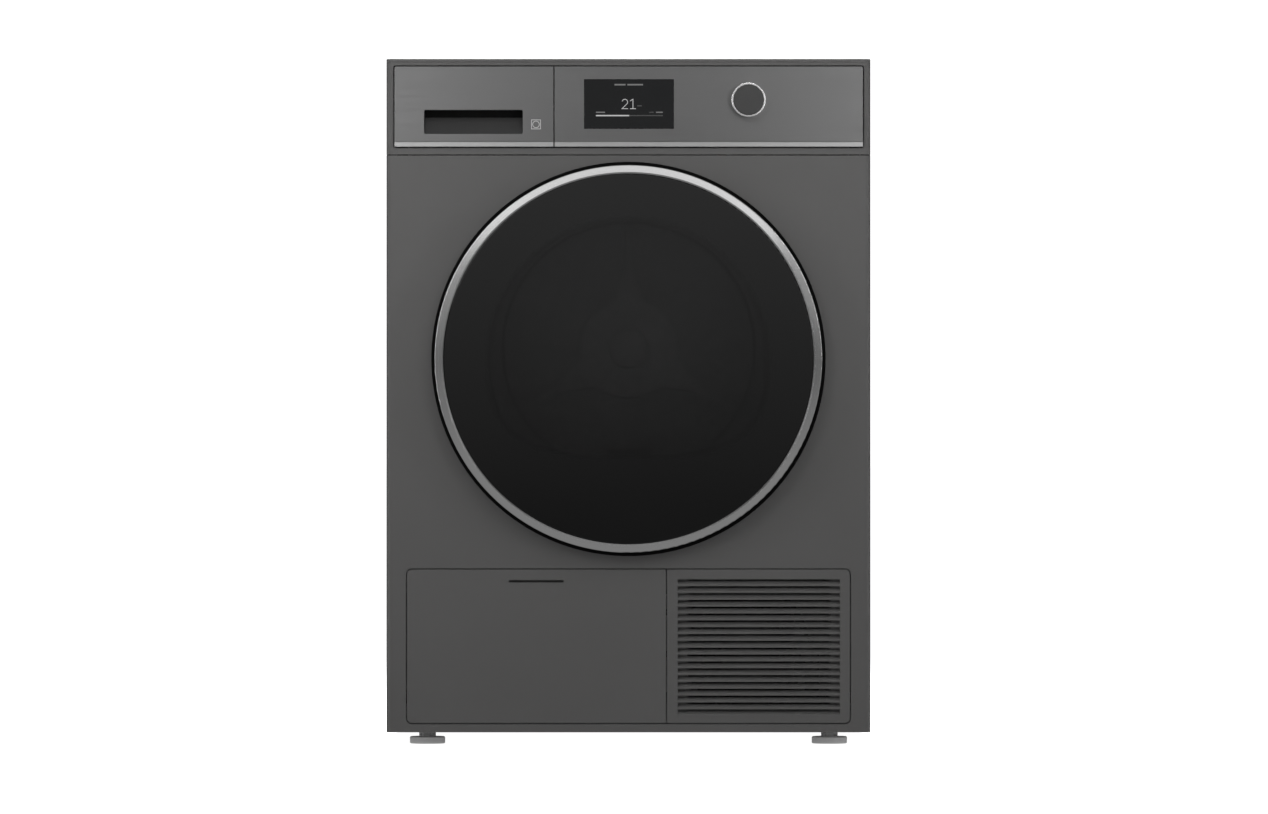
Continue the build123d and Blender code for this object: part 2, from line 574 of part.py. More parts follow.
# Radial fan: back plate, hub, blades leaning forwards and a rim ring.
FAN_R = 74.0
FAN_Y0, FAN_Y1 = 254.0, 288.0
BLADE_COUNT = 28
with BuildPart() as process_fan:
    rod(FAN_R, MOTOR_X, MOTOR_Z, FAN_Y1 - 2, FAN_Y1)
    rod(15.0, MOTOR_X, MOTOR_Z, FAN_Y0 + 10, FAN_Y1)
    with BuildSketch(facing(FAN_Y0)):
        with Locations((MOTOR_X, MOTOR_Z)):
            Circle(FAN_R)
            Circle(FAN_R - 6, mode=Mode.SUBTRACT)
    extrude(amount=-2.0)
    with BuildSketch(facing(FAN_Y0)):
        with Locations((MOTOR_X, MOTOR_Z)):
            with PolarLocations(62.0, BLADE_COUNT):
                Rectangle(20, 1.6, rotation=32)
    extrude(amount=-(FAN_Y1 - FAN_Y0))
    rod(MOTOR_SHAFT_R, MOTOR_X, MOTOR_Z, FAN_Y0, FAN_Y1, Mode.SUBTRACT)
process_fan.part.label = "process_fan"
export_step(process_fan.part, "parts/process_fan.step")

# Spring-loaded arm that presses the idler pulley on the belt.
with BuildPart() as idler_arm:
    with BuildSketch(facing(162.5)):
        with Locations((IDLER_PIVOT_X, IDLER_PIVOT_Z)):
            Circle(9.0)
        with Locations((IDLER_X, IDLER_Z)):
            Circle(8.0)
        make_hull()
    extrude(amount=-4.0)
    rod(SMALL_PIN_R, IDLER_X, IDLER_Z, 147.0, 162.5)
    rod(SMALL_PIN_R + RUN, IDLER_PIVOT_X, IDLER_PIVOT_Z, 162.5, 166.5, Mode.SUBTRACT)
idler_arm.part.label = "idler_arm"
export_step(idler_arm.part, "parts/idler_arm.step")

with BuildPart() as idler_pulley:
    rod(IDLER_R, IDLER_X, IDLER_Z, 148.5, 161.5)
    chamfer(idler_pulley.edges().filter_by(GeomType.CIRCLE), 1.0)
    rod(SMALL_PIN_R + RUN, IDLER_X, IDLER_Z, 148.5, 161.5, Mode.SUBTRACT)
idler_pulley.part.label = "idler_pulley"
export_step(idler_pulley.part, "parts/idler_pulley.step")

# Compressor on three feet, with the pipes that are brazed to it.
COMPRESSOR_X, COMPRESSOR_Y, COMPRESSOR_R = 150.0, -140.0, 58.0
COMPRESSOR_Z0, COMPRESSOR_Z1 = 38.0, 178.0
PIPE_R = 4.0
SUCTION_PIPE = (
    (COMPRESSOR_X - COMPRESSOR_R + 4, COMPRESSOR_Y - 8, 110.0),
    (60.0, COMPRESSOR_Y - 8, 110.0),
    (60.0, COMPRESSOR_Y - 60, 110.0),
    (COIL_X1 + 2, COMPRESSOR_Y - 60, 110.0),
)
PRESSURE_PIPE = (
    (COMPRESSOR_X, COMPRESSOR_Y + 10, COMPRESSOR_Z1 - 4),
    (COMPRESSOR_X, COMPRESSOR_Y + 10, 204.0),
    (COMPRESSOR_X - 84, COMPRESSOR_Y + 10, 204.0),
    (COMPRESSOR_X - 84, COMPRESSOR_Y + 50, 204.0),
    (COMPRESSOR_X - 84, COMPRESSOR_Y + 50, 160.0),
    (COIL_X1 + 2, COMPRESSOR_Y + 50, 160.0),
)
with BuildPart() as compressor:
    post(COMPRESSOR_R, COMPRESSOR_X, COMPRESSOR_Y, COMPRESSOR_Z0, COMPRESSOR_Z1)
    fillet(compressor.edges().filter_by(GeomType.CIRCLE), 24.0)
    with BuildSketch(Plane.XY.offset(COMPRESSOR_Z0)):
        with Locations((COMPRESSOR_X, COMPRESSOR_Y)):
            with PolarLocations(62.0, 3, start_angle=90):
                Circle(12.0)
            make_hull()
    extrude(amount=3.0)
    with Locations((COMPRESSOR_X, COMPRESSOR_Y, FLOOR_Z)):
        with PolarLocations(62.0, 3, start_angle=90):
            Cylinder(9.0, COMPRESSOR_Z0 - FLOOR_Z, align=(CENTRE, CENTRE, LOW))
    for pipe_route in (SUCTION_PIPE, PRESSURE_PIPE):
        with BuildLine() as pipe_line:
            FilletPolyline(*pipe_route, radius=14.0)
        with BuildSketch(Plane(pipe_line.line @ 0, z_dir=pipe_line.line % 0)):
            Circle(PIPE_R)
        sweep(path=pipe_line.line)
compressor.part.label = "compressor"
export_step(compressor.part, "parts/compressor.step")

# The two finned coils: a core between end plates, with the return bends beyond them.
for coil_name, coil_y0, coil_y1 in (("evaporator", -236.0, -158.0), ("condenser", -136.0, -40.0)):
    with BuildPart() as coil:
        block(COIL_X0 + 6, COIL_X1 - 8, coil_y0, coil_y1, COIL_Z0, COIL_Z1)
        for plate_x in (COIL_X0 + 4, COIL_X1 - 8):
            block(plate_x, plate_x + 2, coil_y0 - 3, coil_y1 + 3, COIL_Z0 - 4, COIL_Z1 + 3)
        with BuildSketch(Plane.YZ.offset(COIL_X1 - 6)):
            with Locations(((coil_y0 + coil_y1) / 2, (COIL_Z0 + COIL_Z1) / 2)):
                with GridLocations(30, 28, 2, 6):
                    SlotOverall(24, 8, rotation=90)
        extrude(amount=6.0)
    coil.part.label = coil_name
    export_step(coil.part, f"parts/{coil_name}.step")

with BuildPart() as condensate_pump:
    post(27.0, -170.0, 60.0, FLOOR_Z, 62.0)
    fillet(condensate_pump.faces().sort_by(Axis.Z)[-1].edges(), 3.0)
    post(17.0, -170.0, 60.0, 62.0, 92.0)
    fillet(condensate_pump.faces().sort_by(Axis.Z)[-1].edges(), 3.0)
    rod(6.0, -170.0, 45.0, 80.0, 112.0)
condensate_pump.part.label = "condensate_pump"
export_step(condensate_pump.part, "parts/condensate_pump.step")

# --- Plinth -------------------------------------------------------------------------------------
# Cooling-air grille. Every louvre is a groove with a level upper edge and a sloping lower face, and
# its deepest part is open to the inside over all but the two ends.
GRILLE_X0 = PLINTH_SPLIT_X + SEAM / 2
LOUVRE_X0, LOUVRE_X1 = 61.0, 262.0
LOUVRE_END = 12.0
LOUVRE_COUNT = 20
LOUVRE_PITCH = 8.48
LOUVRE_TOP_Z = 205.0
LOUVRE_DEPTH = 6.0
LOUVRE_FACE = 6.3
LOUVRE_GAP = 1.8
louvre_tops = [LOUVRE_TOP_Z - LOUVRE_PITCH * row for row in range(LOUVRE_COUNT)]
with BuildPart() as air_grille:
    with BuildSketch(facing(PANEL_Y)) as grille_plan:
        with Locations((GRILLE_X0, PLINTH_Z0)):
            Rectangle(PLINTH_X - GRILLE_X0, PLINTH_Z1 - PLINTH_Z0, align=(LOW, LOW))
        fillet(grille_plan.vertices().group_by(Axis.X)[-1], PLINTH_R)
        fillet(grille_plan.vertices().group_by(Axis.X)[0], 1.0)
    extrude(amount=-3.0)
    block(LOUVRE_X0 - 3, LOUVRE_X1 + 3, PANEL_Y, PANEL_Y + 7.5, louvre_tops[-1] - 9, LOUVRE_TOP_Z + 3)
    for groove_z in louvre_tops:
        with BuildSketch(Plane.YZ.offset(LOUVRE_X0)):
            with Locations((PANEL_Y, groove_z)):
                Polygon(
                    (-1, 0),
                    (LOUVRE_DEPTH, 0),
                    (LOUVRE_DEPTH, -LOUVRE_GAP),
                    (0, -LOUVRE_FACE),
                    (-1, -LOUVRE_FACE),
                    align=None,
                )
        extrude(amount=LOUVRE_X1 - LOUVRE_X0, mode=Mode.SUBTRACT)
        block(
            LOUVRE_X0 + LOUVRE_END,
            LOUVRE_X1 - LOUVRE_END,
            PANEL_Y + LOUVRE_DEPTH - 1,
            PANEL_Y + 9,
            groove_z - LOUVRE_GAP,
            groove_z,
            Mode.SUBTRACT,
        )
air_grille.part.label = "air_grille"
export_step(air_grille.part, "parts/air_grille.step")

# Service flap with a finger slot near its top edge, hinged on two pins along its bottom edge.
FLAP_X1 = PLINTH_SPLIT_X - SEAM / 2
SLOT_X, SLOT_Z = -114.1, 202.5
with BuildPart() as plinth_flap:
    with BuildSketch(facing(PANEL_Y)) as flap_plan:
        with Locations((-PLINTH_X, PLINTH_Z0)):
            Rectangle(FLAP_X1 + PLINTH_X, PLINTH_Z1 - PLINTH_Z0, align=(LOW, LOW))
        fillet(flap_plan.vertices().group_by(Axis.X)[0], PLINTH_R)
        fillet(flap_plan.vertices().group_by(Axis.X)[-1], 1.0)
    extrude(amount=-FLAP_T)
    for rib_x in (-PLINTH_X + 8, FLAP_X1 - 10):
        block(rib_x, rib_x + 2, PANEL_Y + FLAP_T, PANEL_Y + 9, 40.0, PLINTH_Z1 - 8)
    block(-PLINTH_X + 8, FLAP_X1 - 8, PANEL_Y + FLAP_T, PANEL_Y + 9, PLINTH_Z1 - 8, PLINTH_Z1 - 6)
    block(SLOT_X - 36, SLOT_X + 36, PANEL_Y + FLAP_T, PANEL_Y + 9, SLOT_Z - 24, SLOT_Z + 2)
    with BuildSketch(Plane.YZ.offset(SLOT_X - 33.7)):
        Polygon(
            (PANEL_Y - 1, SLOT_Z + 1.5),
            (PANEL_Y + 8, SLOT_Z + 1.5),
            (PANEL_Y + 8, SLOT_Z - 18),
            (PANEL_Y + 1.5, SLOT_Z - 1.5),
            (PANEL_Y - 1, SLOT_Z - 1.5),
            align=None,
        )
    extrude(amount=67.4, mode=Mode.SUBTRACT)
    for face_x, side in FLAP_BRACKETS:
        with BuildSketch(Plane.YZ.offset(face_x + 0.4 * side)):
            with Locations((FLAP_PIVOT_Y, FLAP_PIVOT_Z)):
                Circle(3.4)
            with Locations((PANEL_Y + 1, PLINTH_Z0 + 2)):
                Rectangle(4.5, 8.0, align=(LOW, LOW))
            with Locations((FLAP_PIVOT_Y, FLAP_PIVOT_Z)):
                Circle(FLAP_PIN_R + RUN, mode=Mode.SUBTRACT)
        extrude(amount=4.0 * side)
plinth_flap.part.label = "plinth_flap"
export_step(plinth_flap.part, "parts/plinth_flap.step")

# Cover of the heat exchanger behind the flap, with one turning lever.
COVER_Y = -285.0
LEVER_X, LEVER_Z = -215.0, 120.0
with BuildPart() as heat_exchanger_cover:
    with BuildSketch(facing(COVER_Y)):
        with Locations((-114.0, 119.0)):
            RectangleRounded(290, 130, 10)
    extrude(amount=-2.5)
    with BuildSketch(facing(COVER_Y + 2.5)):
        with Locations((-114.0, 119.0)):
            RectangleRounded(282, 122, 8)
            RectangleRounded(277, 117, 6, mode=Mode.SUBTRACT)
    extrude(amount=-12.0)
    for rib_x in (-150.0, -110.0, -70.0, -30.0):
        block(rib_x, rib_x + 3, COVER_Y - 1.2, COVER_Y, 74.0, 164.0)
    rod(4.0 + RUN, LEVER_X, LEVER_Z, COVER_Y, COVER_Y + 2.5, Mode.SUBTRACT)
heat_exchanger_cover.part.label = "heat_exchanger_cover"
export_step(heat_exchanger_cover.part, "parts/heat_exchanger_cover.step")

with BuildPart() as cover_lever:
    rod(12.0, LEVER_X, LEVER_Z, COVER_Y - 3.3, COVER_Y - CLEAR)
    with BuildSketch(facing(COVER_Y - CLEAR)):
        with Locations((LEVER_X, LEVER_Z)):
            SlotCenterPoint((0, -15), (0, 0), 11)
    extrude(amount=3.0)
    rod(4.0, LEVER_X, LEVER_Z, COVER_Y - CLEAR, COVER_Y + 3.5)
    with BuildSketch(facing(COVER_Y + 3.5)):
        with Locations((LEVER_X, LEVER_Z)):
            SlotOverall(24, 7, rotation=90)
    extrude(amount=-2.5)
cover_lever.part.label = "cover_lever"
export_step(cover_lever.part, "parts/cover_lever.step")

# --- Control panel ------------------------------------------------------------------------------
# Frame round the fascia, with the two grooved rails that guide the water tank.
RAIL_DEPTH_Y = -20.0
with BuildPart() as fascia_frame:
    with BuildSketch(Plane.XY.offset(FASCIA_Z)):
        with Locations((0, PANEL_Y + 20)):
            RectangleRounded(WIDTH, 40, CORNER_R)
            RectangleRounded(WIDTH - 2 * SHELL, 40 - 2 * SHELL, CORNER_R - SHELL, mode=Mode.SUBTRACT)
        with Locations((0, RETURN_Y)):
            Rectangle(WIDTH, 40, align=(CENTRE, LOW), mode=Mode.SUBTRACT)
    extrude(amount=LID_Z - CLEAR - FASCIA_Z)
    with BuildSketch(facing(PANEL_Y)):
        with Locations(((FASCIA_X0 + FASCIA_X1) / 2, (FASCIA_Z0 + FASCIA_Z1) / 2)):
            RectangleRounded(FASCIA_X1 - FASCIA_X0 + 2 * SEAM, FASCIA_Z1 - FASCIA_Z0 + 2 * SEAM, 2.5)
    extrude(amount=-2 * SHELL, mode=Mode.SUBTRACT)
    for rail_x0, rail_x1 in ((-HALF_W + SHELL, TANK_X0 - 0.5), (TANK_X1 + 0.5, TANK_X1 + 11)):
        block(rail_x0, rail_x1, RETURN_Y - 4, RAIL_DEPTH_Y, RAIL_Z - 8, RAIL_Z + 8)
    block(TANK_X1 + 0.5, TANK_X1 + 11, RETURN_Y - 4, RETURN_Y, FASCIA_Z, LID_Z - CLEAR)
    block(TANK_X1 + 0.5, TANK_X1 + 11, PANEL_Y + SHELL, RETURN_Y, FASCIA_Z, FASCIA_Z0 - SEAM)
    block(TANK_X1 + 0.5, TANK_X1 + 11, PANEL_Y + SHELL, RETURN_Y, FASCIA_Z1 + SEAM, LID_Z - CLEAR)
    for groove_x0, groove_x1 in ((TANK_X0 - 4.5, TANK_X0), (TANK_X1, TANK_X1 + 4.5)):
        block(
            groove_x0,
            groove_x1,
            RETURN_Y - 5,
            RAIL_DEPTH_Y,
            RAIL_Z - 2.6,
            RAIL_Z + 2.6,
            Mode.SUBTRACT,
        )
fascia_frame.part.label = "fascia_frame"
export_step(fascia_frame.part, "parts/fascia_frame.step")

CONTROL_X0 = DIVIDER_X + SEAM / 2
FLANGE_Y = PANEL_Y + 9.5
STRIP_T = 1.5
with BuildPart() as control_fascia:
    block(CONTROL_X0, FASCIA_X1, FASCIA_Y, FLANGE_Y, FASCIA_Z0, FASCIA_Z1)
    fillet(control_fascia.edges().filter_by(Axis.Y).group_by(Axis.X)[-1], 2.0)
    fillet(control_fascia.faces().sort_by(Axis.Y)[0].edges(), 0.6)
    block(
        CONTROL_X0 + SHELL,
        FASCIA_X1 - SHELL,
        FASCIA_Y + SHELL,
        FLANGE_Y,
        FASCIA_Z0 + SHELL,
        FASCIA_Z1 - SHELL,
        Mode.SUBTRACT,
    )
    block(
        CONTROL_X0 - 1,
        FASCIA_X1 + 1,
        FASCIA_Y,
        FASCIA_Y + STRIP_T,
        FASCIA_Z0,
        STRIP_TOP_Z + 0.2,
        Mode.SUBTRACT,
    )
    block(DISPLAY_X0, DISPLAY_X1, FASCIA_Y, FASCIA_Y + SHELL, DISPLAY_Z0, DISPLAY_Z1, Mode.SUBTRACT)
    rod(5.6, KNOB_X, KNOB_Z, FASCIA_Y, FASCIA_Y + SHELL, Mode.SUBTRACT)
control_fascia.part.label = "control_fascia"
export_step(control_fascia.part, "parts/control_fascia.step")

with BuildPart() as fascia_trim_strip:
    block(CONTROL_X0, FASCIA_X1, FASCIA_Y - 0.6, FASCIA_Y + STRIP_T, FASCIA_Z0, STRIP_TOP_Z)
    chamfer(fascia_trim_strip.faces().sort_by(Axis.Y)[0].edges(), 0.5)
fascia_trim_strip.part.label = "fascia_trim_strip"
export_step(fascia_trim_strip.part, "parts/fascia_trim_strip.step")

with BuildPart() as display_glass:
    block(DISPLAY_X0, DISPLAY_X1, FASCIA_Y - 0.2, FASCIA_Y + SHELL, DISPLAY_Z0, DISPLAY_Z1)
    chamfer(display_glass.faces().sort_by(Axis.Y)[0].edges(), 0.4)
display_glass.part.label = "display_glass"
export_step(display_glass.part, "parts/display_glass.step")

# Circuit board with the display module, the encoder under the knob, relays and a capacitor row.
BOARD_Y = -284.0
with BuildPart() as control_board:
    block(-70.0, 200.0, BOARD_Y, BOARD_Y + 1.6, 757.0, 832.0)
    block(-52.0, 53.0, BOARD_Y - 14, BOARD_Y, 766.0, 821.0)
    block(KNOB_X - 8, KNOB_X + 8, BOARD_Y - 5, BOARD_Y, KNOB_Z - 8, KNOB_Z + 8)
    for relay_x in (75.0, 96.0, 117.0):
        block(relay_x, relay_x + 15, BOARD_Y + 1.6, BOARD_Y + 16, 766.0, 792.0)
    for can_x in (0.0, 18.0, 36.0):
        rod(6.5, can_x, 800.0, BOARD_Y + 1.6, BOARD_Y + 24)
control_board.part.label = "control_board"
export_step(control_board.part, "parts/control_board.step")

# Turn knob: a bright ring on a shaft, and a cap inside it that is pressed. The stem of the cap runs in
# a blind bore in the foot of the ring.
KNOB_Y0 = FASCIA_Y - 16.0
CAP_BACK_Y = KNOB_Y0 + 4.0
KNOB_FLOOR_Y = FASCIA_Y - 6.0
CAP_STEM_R = 2.0
with BuildPart() as knob_ring:
    rod(KNOB_R, KNOB_X, KNOB_Z, KNOB_Y0, FASCIA_Y - 0.5)
    fillet(knob_ring.faces().sort_by(Axis.Y)[0].edges(), 0.9)
    rod(CAP_R + 0.3, KNOB_X, KNOB_Z, KNOB_Y0, KNOB_FLOOR_Y, Mode.SUBTRACT)
    rod(5.0, KNOB_X, KNOB_Z, KNOB_FLOOR_Y + 2, BOARD_Y - 7)
    rod(CAP_STEM_R + RUN, KNOB_X, KNOB_Z, KNOB_FLOOR_Y, KNOB_FLOOR_Y + 4, Mode.SUBTRACT)
knob_ring.part.label = "knob_ring"
export_step(knob_ring.part, "parts/knob_ring.step")

with BuildPart() as knob_cap:
    rod(CAP_R, KNOB_X, KNOB_Z, KNOB_Y0 - 0.4, CAP_BACK_Y)
    fillet(knob_cap.faces().sort_by(Axis.Y)[0].edges(), 1.0)
    rod(CAP_STEM_R, KNOB_X, KNOB_Z, CAP_BACK_Y, KNOB_FLOOR_Y + 2)
knob_cap.part.label = "knob_cap"
export_step(knob_cap.part, "parts/knob_cap.step")

# --- Water tank drawer --------------------------------------------------------------------------
# The front has a window for the fingers.
DRAWER_X1 = DIVIDER_X - SEAM / 2
RECESS_X0, RECESS_X1 = -253.0, -130.9
RECESS_Z0, RECESS_Z1 = 757.0, 786.3
with BuildPart() as tank_front:
    block(FASCIA_X0, DRAWER_X1, FASCIA_Y, FLANGE_Y, FASCIA_Z0, FASCIA_Z1)
    fillet(tank_front.edges().filter_by(Axis.Y).group_by(Axis.X)[0], 2.0)
    fillet(tank_front.faces().sort_by(Axis.Y)[0].edges(), 0.6)
    block(
        FASCIA_X0 + SHELL,
        DRAWER_X1 - SHELL,
        FASCIA_Y + SHELL,
        FLANGE_Y,
        FASCIA_Z0 + SHELL,
        FASCIA_Z1 - SHELL,
        Mode.SUBTRACT,
    )
    block(
        FASCIA_X0 - 1,
        DRAWER_X1 + 1,
        FASCIA_Y,
        FASCIA_Y + STRIP_T,
        FASCIA_Z0,
        STRIP_TOP_Z + 0.2,
        Mode.SUBTRACT,
    )
    with BuildSketch(facing(FASCIA_Y)):
        with Locations(((RECESS_X0 + RECESS_X1) / 2, (RECESS_Z0 + RECESS_Z1) / 2)):
            RectangleRounded(RECESS_X1 - RECESS_X0, RECESS_Z1 - RECESS_Z0, 2.0)
    extrude(amount=-SHELL, mode=Mode.SUBTRACT)
    fillet(tank_front.faces().sort_by(Axis.Y)[0].inner_wires().edges(), 0.5)
tank_front.part.label = "tank_front"
export_step(tank_front.part, "parts/tank_front.step")

# Dark cup behind the window: a slope rises from its lower edge to a deep slot behind the upper edge,
# where the fingers hook in. Profile points are (depth, height).
CUP_FRONT_Y = FASCIA_Y + SHELL
CUP_LEDGE_Y = -290.0
CUP_BACK_Y = -280.5
CUP_LEDGE_Z = 777.0
CUP_ROOF_Z = 797.0
CUP_WALL = 2.0
with BuildPart() as tank_handle_cup:
    with BuildSketch(Plane.YZ.offset(RECESS_X0 - CUP_WALL)):
        Polygon(
            (CUP_FRONT_Y, RECESS_Z0 - CUP_WALL),
            (CUP_LEDGE_Y + 1, CUP_LEDGE_Z - CUP_WALL),
            (CUP_BACK_Y + CUP_WALL, CUP_LEDGE_Z - CUP_WALL),
            (CUP_BACK_Y + CUP_WALL, CUP_ROOF_Z + CUP_WALL),
            (CUP_FRONT_Y, CUP_ROOF_Z + CUP_WALL),
            align=None,
        )
    extrude(amount=RECESS_X1 - RECESS_X0 + 2 * CUP_WALL)
    with BuildSketch(Plane.YZ.offset(RECESS_X0)):
        Polygon(
            (CUP_FRONT_Y, RECESS_Z0),
            (CUP_LEDGE_Y, CUP_LEDGE_Z),
            (CUP_BACK_Y, CUP_LEDGE_Z),
            (CUP_BACK_Y, CUP_ROOF_Z),
            (CUP_FRONT_Y, CUP_ROOF_Z),
            align=None,
        )
    extrude(amount=RECESS_X1 - RECESS_X0, mode=Mode.SUBTRACT)
tank_handle_cup.part.label = "tank_handle_cup"
export_step(tank_handle_cup.part, "parts/tank_handle_cup.step")

with BuildPart() as tank_trim_strip:
    block(FASCIA_X0, DRAWER_X1, FASCIA_Y - 0.6, FASCIA_Y + STRIP_T, FASCIA_Z0, STRIP_TOP_Z)
    chamfer(tank_trim_strip.faces().sort_by(Axis.Y)[0].edges(), 0.5)
tank_trim_strip.part.label = "tank_trim_strip"
export_step(tank_trim_strip.part, "parts/tank_trim_strip.step")

with BuildPart() as water_tank:
    block(TANK_X0, TANK_X1, TANK_Y0, TANK_Y1, TANK_Z0, TANK_Z1)
    fillet(water_tank.edges().filter_by(Axis.Z), 12.0)
    fillet(water_tank.faces().sort_by(Axis.Z)[0].edges(), 2.5)
    block(TANK_X0 - 4, TANK_X0, TANK_Y0 + 40, TANK_Y1 - 12, RAIL_Z - 2, RAIL_Z + 2)
    block(TANK_X1, TANK_X1 + 4, TANK_Y0 + 40, TANK_Y1 - 12, RAIL_Z - 2, RAIL_Z + 2)
    block(
        TANK_X0 + SHELL,
        TANK_X1 - SHELL,
        TANK_Y0 + SHELL,
        TANK_Y1 - SHELL,
        TANK_Z0 + SHELL,
        TANK_Z1 - SHELL,
        Mode.SUBTRACT,
    )
    with Locations((-191.0, -225.0, TANK_Z1)):
        Cylinder(18.0, 3 * SHELL, mode=Mode.SUBTRACT)
water_tank.part.label = "water_tank"
export_step(water_tank.part, "parts/water_tank.step")

# --- Door ---------------------------------------------------------------------------------------
# Everything round is turned about the door axis; profile points are (radius, depth).
DOOR_AXIS = Axis((0, 0, DOOR_Z), (0, 1, 0))
DOOR_BACK_Y = -310.5
GLASS_Y0, GLASS_Y1 = -325.5, -321.5
BEZEL_WEB_Y = -323.5
RING_LIP = 1.8  # chamfer round the glass
RING_SLOPE = 2.2  # the front face of the ring falls this much towards its outer edge
RING_EDGE = 1.2  # rounding of the outer edge
with BuildPart() as door_trim_ring:
    with BuildSketch(Plane.XY.offset(DOOR_Z)):
        with BuildLine():
            Polyline(
                (RING_R, DOOR_BACK_Y),
                (RING_R - 3, DOOR_BACK_Y),
                (RING_R - 3, BEZEL_WEB_Y),
                (GLASS_R, BEZEL_WEB_Y),
                (GLASS_R, RING_FRONT_Y + RING_LIP),
                (GLASS_R + RING_LIP, RING_FRONT_Y),
                (RING_R - RING_EDGE, RING_FRONT_Y + RING_SLOPE),
            )
            RadiusArc(
                (RING_R - RING_EDGE, RING_FRONT_Y + RING_SLOPE),
                (RING_R, RING_FRONT_Y + RING_SLOPE + RING_EDGE),
                -RING_EDGE,
            )
            Line((RING_R, RING_FRONT_Y + RING_SLOPE + RING_EDGE), (RING_R, DOOR_BACK_Y))
        make_face()
    revolve(axis=DOOR_AXIS)
    for side in (-1, 1):
        slot_z = DOOR_Z + side * ARM_OFFSET
        block(232.0, 245.0, BEZEL_WEB_Y, DOOR_BACK_Y, slot_z - 3.5, slot_z + 3.5, Mode.SUBTRACT)
door_trim_ring.part.label = "door_trim_ring"
export_step(door_trim_ring.part, "parts/door_trim_ring.step")

with BuildPart() as door_glass:
    rod(GLASS_R - 0.2, 0, DOOR_Z, GLASS_Y0, GLASS_Y1)
    fillet(door_glass.edges().filter_by(GeomType.CIRCLE).group_by(Axis.Y)[0], 1.0)
door_glass.part.label = "door_glass"
export_step(door_glass.part, "parts/door_glass.step")

# Moulded ring behind the glass, with a pocket for the hinge at its right side.
FRAME_BORE_R = 178.0
with BuildPart() as door_frame:
    with BuildSketch(Plane.XY.offset(DOOR_Z)):
        with BuildLine():
            Polyline(
                (FRAME_BORE_R, GLASS_Y1),
                (GLASS_R, GLASS_Y1),
                (GLASS_R, BEZEL_WEB_Y),
                (RING_R - 3, BEZEL_WEB_Y),
                (RING_R - 3, DOOR_BACK_Y),
                (LINER_R + 14, DOOR_BACK_Y),
                (LINER_R + 14, DOOR_BACK_Y - 6),
                (FRAME_BORE_R, DOOR_BACK_Y - 6),
                close=True,
            )
        make_face()
    revolve(axis=DOOR_AXIS)
    block(202.5, 245.0, BEZEL_WEB_Y, DOOR_BACK_Y, DOOR_Z - 38, DOOR_Z + 38, Mode.SUBTRACT)
door_frame.part.label = "door_frame"
export_step(door_frame.part, "parts/door_frame.step")

# Plug that fills the tunnel: a flange on the door frame, a tapered wall and a rear face.
LINER_REAR_Y = -266.3
with BuildPart() as door_liner:
    with BuildSketch(Plane.XY.offset(DOOR_Z)):
        with BuildLine():
            Polyline(
                (FRAME_BORE_R, DOOR_BACK_Y - 6),
                (LINER_R + 13.5, DOOR_BACK_Y - 6),
                (LINER_R + 13.5, DOOR_BACK_Y),
                (LINER_R, DOOR_BACK_Y),
                (LINER_R, DOOR_BACK_Y + 3),
                (LINER_R - 2, LINER_REAR_Y),
                (BOWL_R + 0.5, LINER_REAR_Y),
                (BOWL_R + 0.5, LINER_REAR_Y - 9),
                (BOWL_R + 3, LINER_REAR_Y - 9),
                (BOWL_R + 3, LINER_REAR_Y - 3),
                (LINER_R - 5, LINER_REAR_Y - 3),
                (LINER_R - 3.2, DOOR_BACK_Y - 3),
                (FRAME_BORE_R, DOOR_BACK_Y - 3),
                close=True,
            )
        make_face()
    revolve(axis=DOOR_AXIS)
door_liner.part.label = "door_liner"
export_step(door_liner.part, "parts/door_liner.step")

# Clear inner bowl, a shallow dish that bulges towards the drum.
BOWL_T = 3.0
BOWL_TIP_Y = -264.5
BOWL_EDGE_Y = -274.0
with BuildPart() as door_bowl:
    with BuildSketch(Plane.XY.offset(DOOR_Z)):
        with BuildLine():
            TangentArc((0, BOWL_TIP_Y), (158.0, BOWL_EDGE_Y + 3), tangent=(1, 0))
            Polyline(
                (158.0, BOWL_EDGE_Y + 3),
                (BOWL_R, BOWL_EDGE_Y - 8),
                (BOWL_R, BOWL_EDGE_Y - 14),
                (BOWL_R - BOWL_T, BOWL_EDGE_Y - 14),
                (BOWL_R - BOWL_T, BOWL_EDGE_Y - 9),
                (156.5, BOWL_EDGE_Y),
            )
            TangentArc((0, BOWL_TIP_Y - BOWL_T), (156.5, BOWL_EDGE_Y), tangent=(1, 0))
            Line((0, BOWL_TIP_Y - BOWL_T), (0, BOWL_TIP_Y))
        make_face()
    revolve(axis=DOOR_AXIS)
door_bowl.part.label = "door_bowl"
export_step(door_bowl.part, "parts/door_bowl.step")

# Soft lip round the rear face of the plug.
with BuildPart() as door_seal:
    with BuildSketch(Plane.XY.offset(DOOR_Z)) as seal_plan:
        with Locations((WINDOW_R + 3.5, LINER_REAR_Y)):
            Rectangle(7.0, BULKHEAD_Y - CLEAR - LINER_REAR_Y, align=(LOW, LOW))
        fillet(seal_plan.vertices().group_by(Axis.Y)[-1], 1.8)
    revolve(axis=DOOR_AXIS)
door_seal.part.label = "door_seal"
export_step(door_seal.part, "parts/door_seal.step")

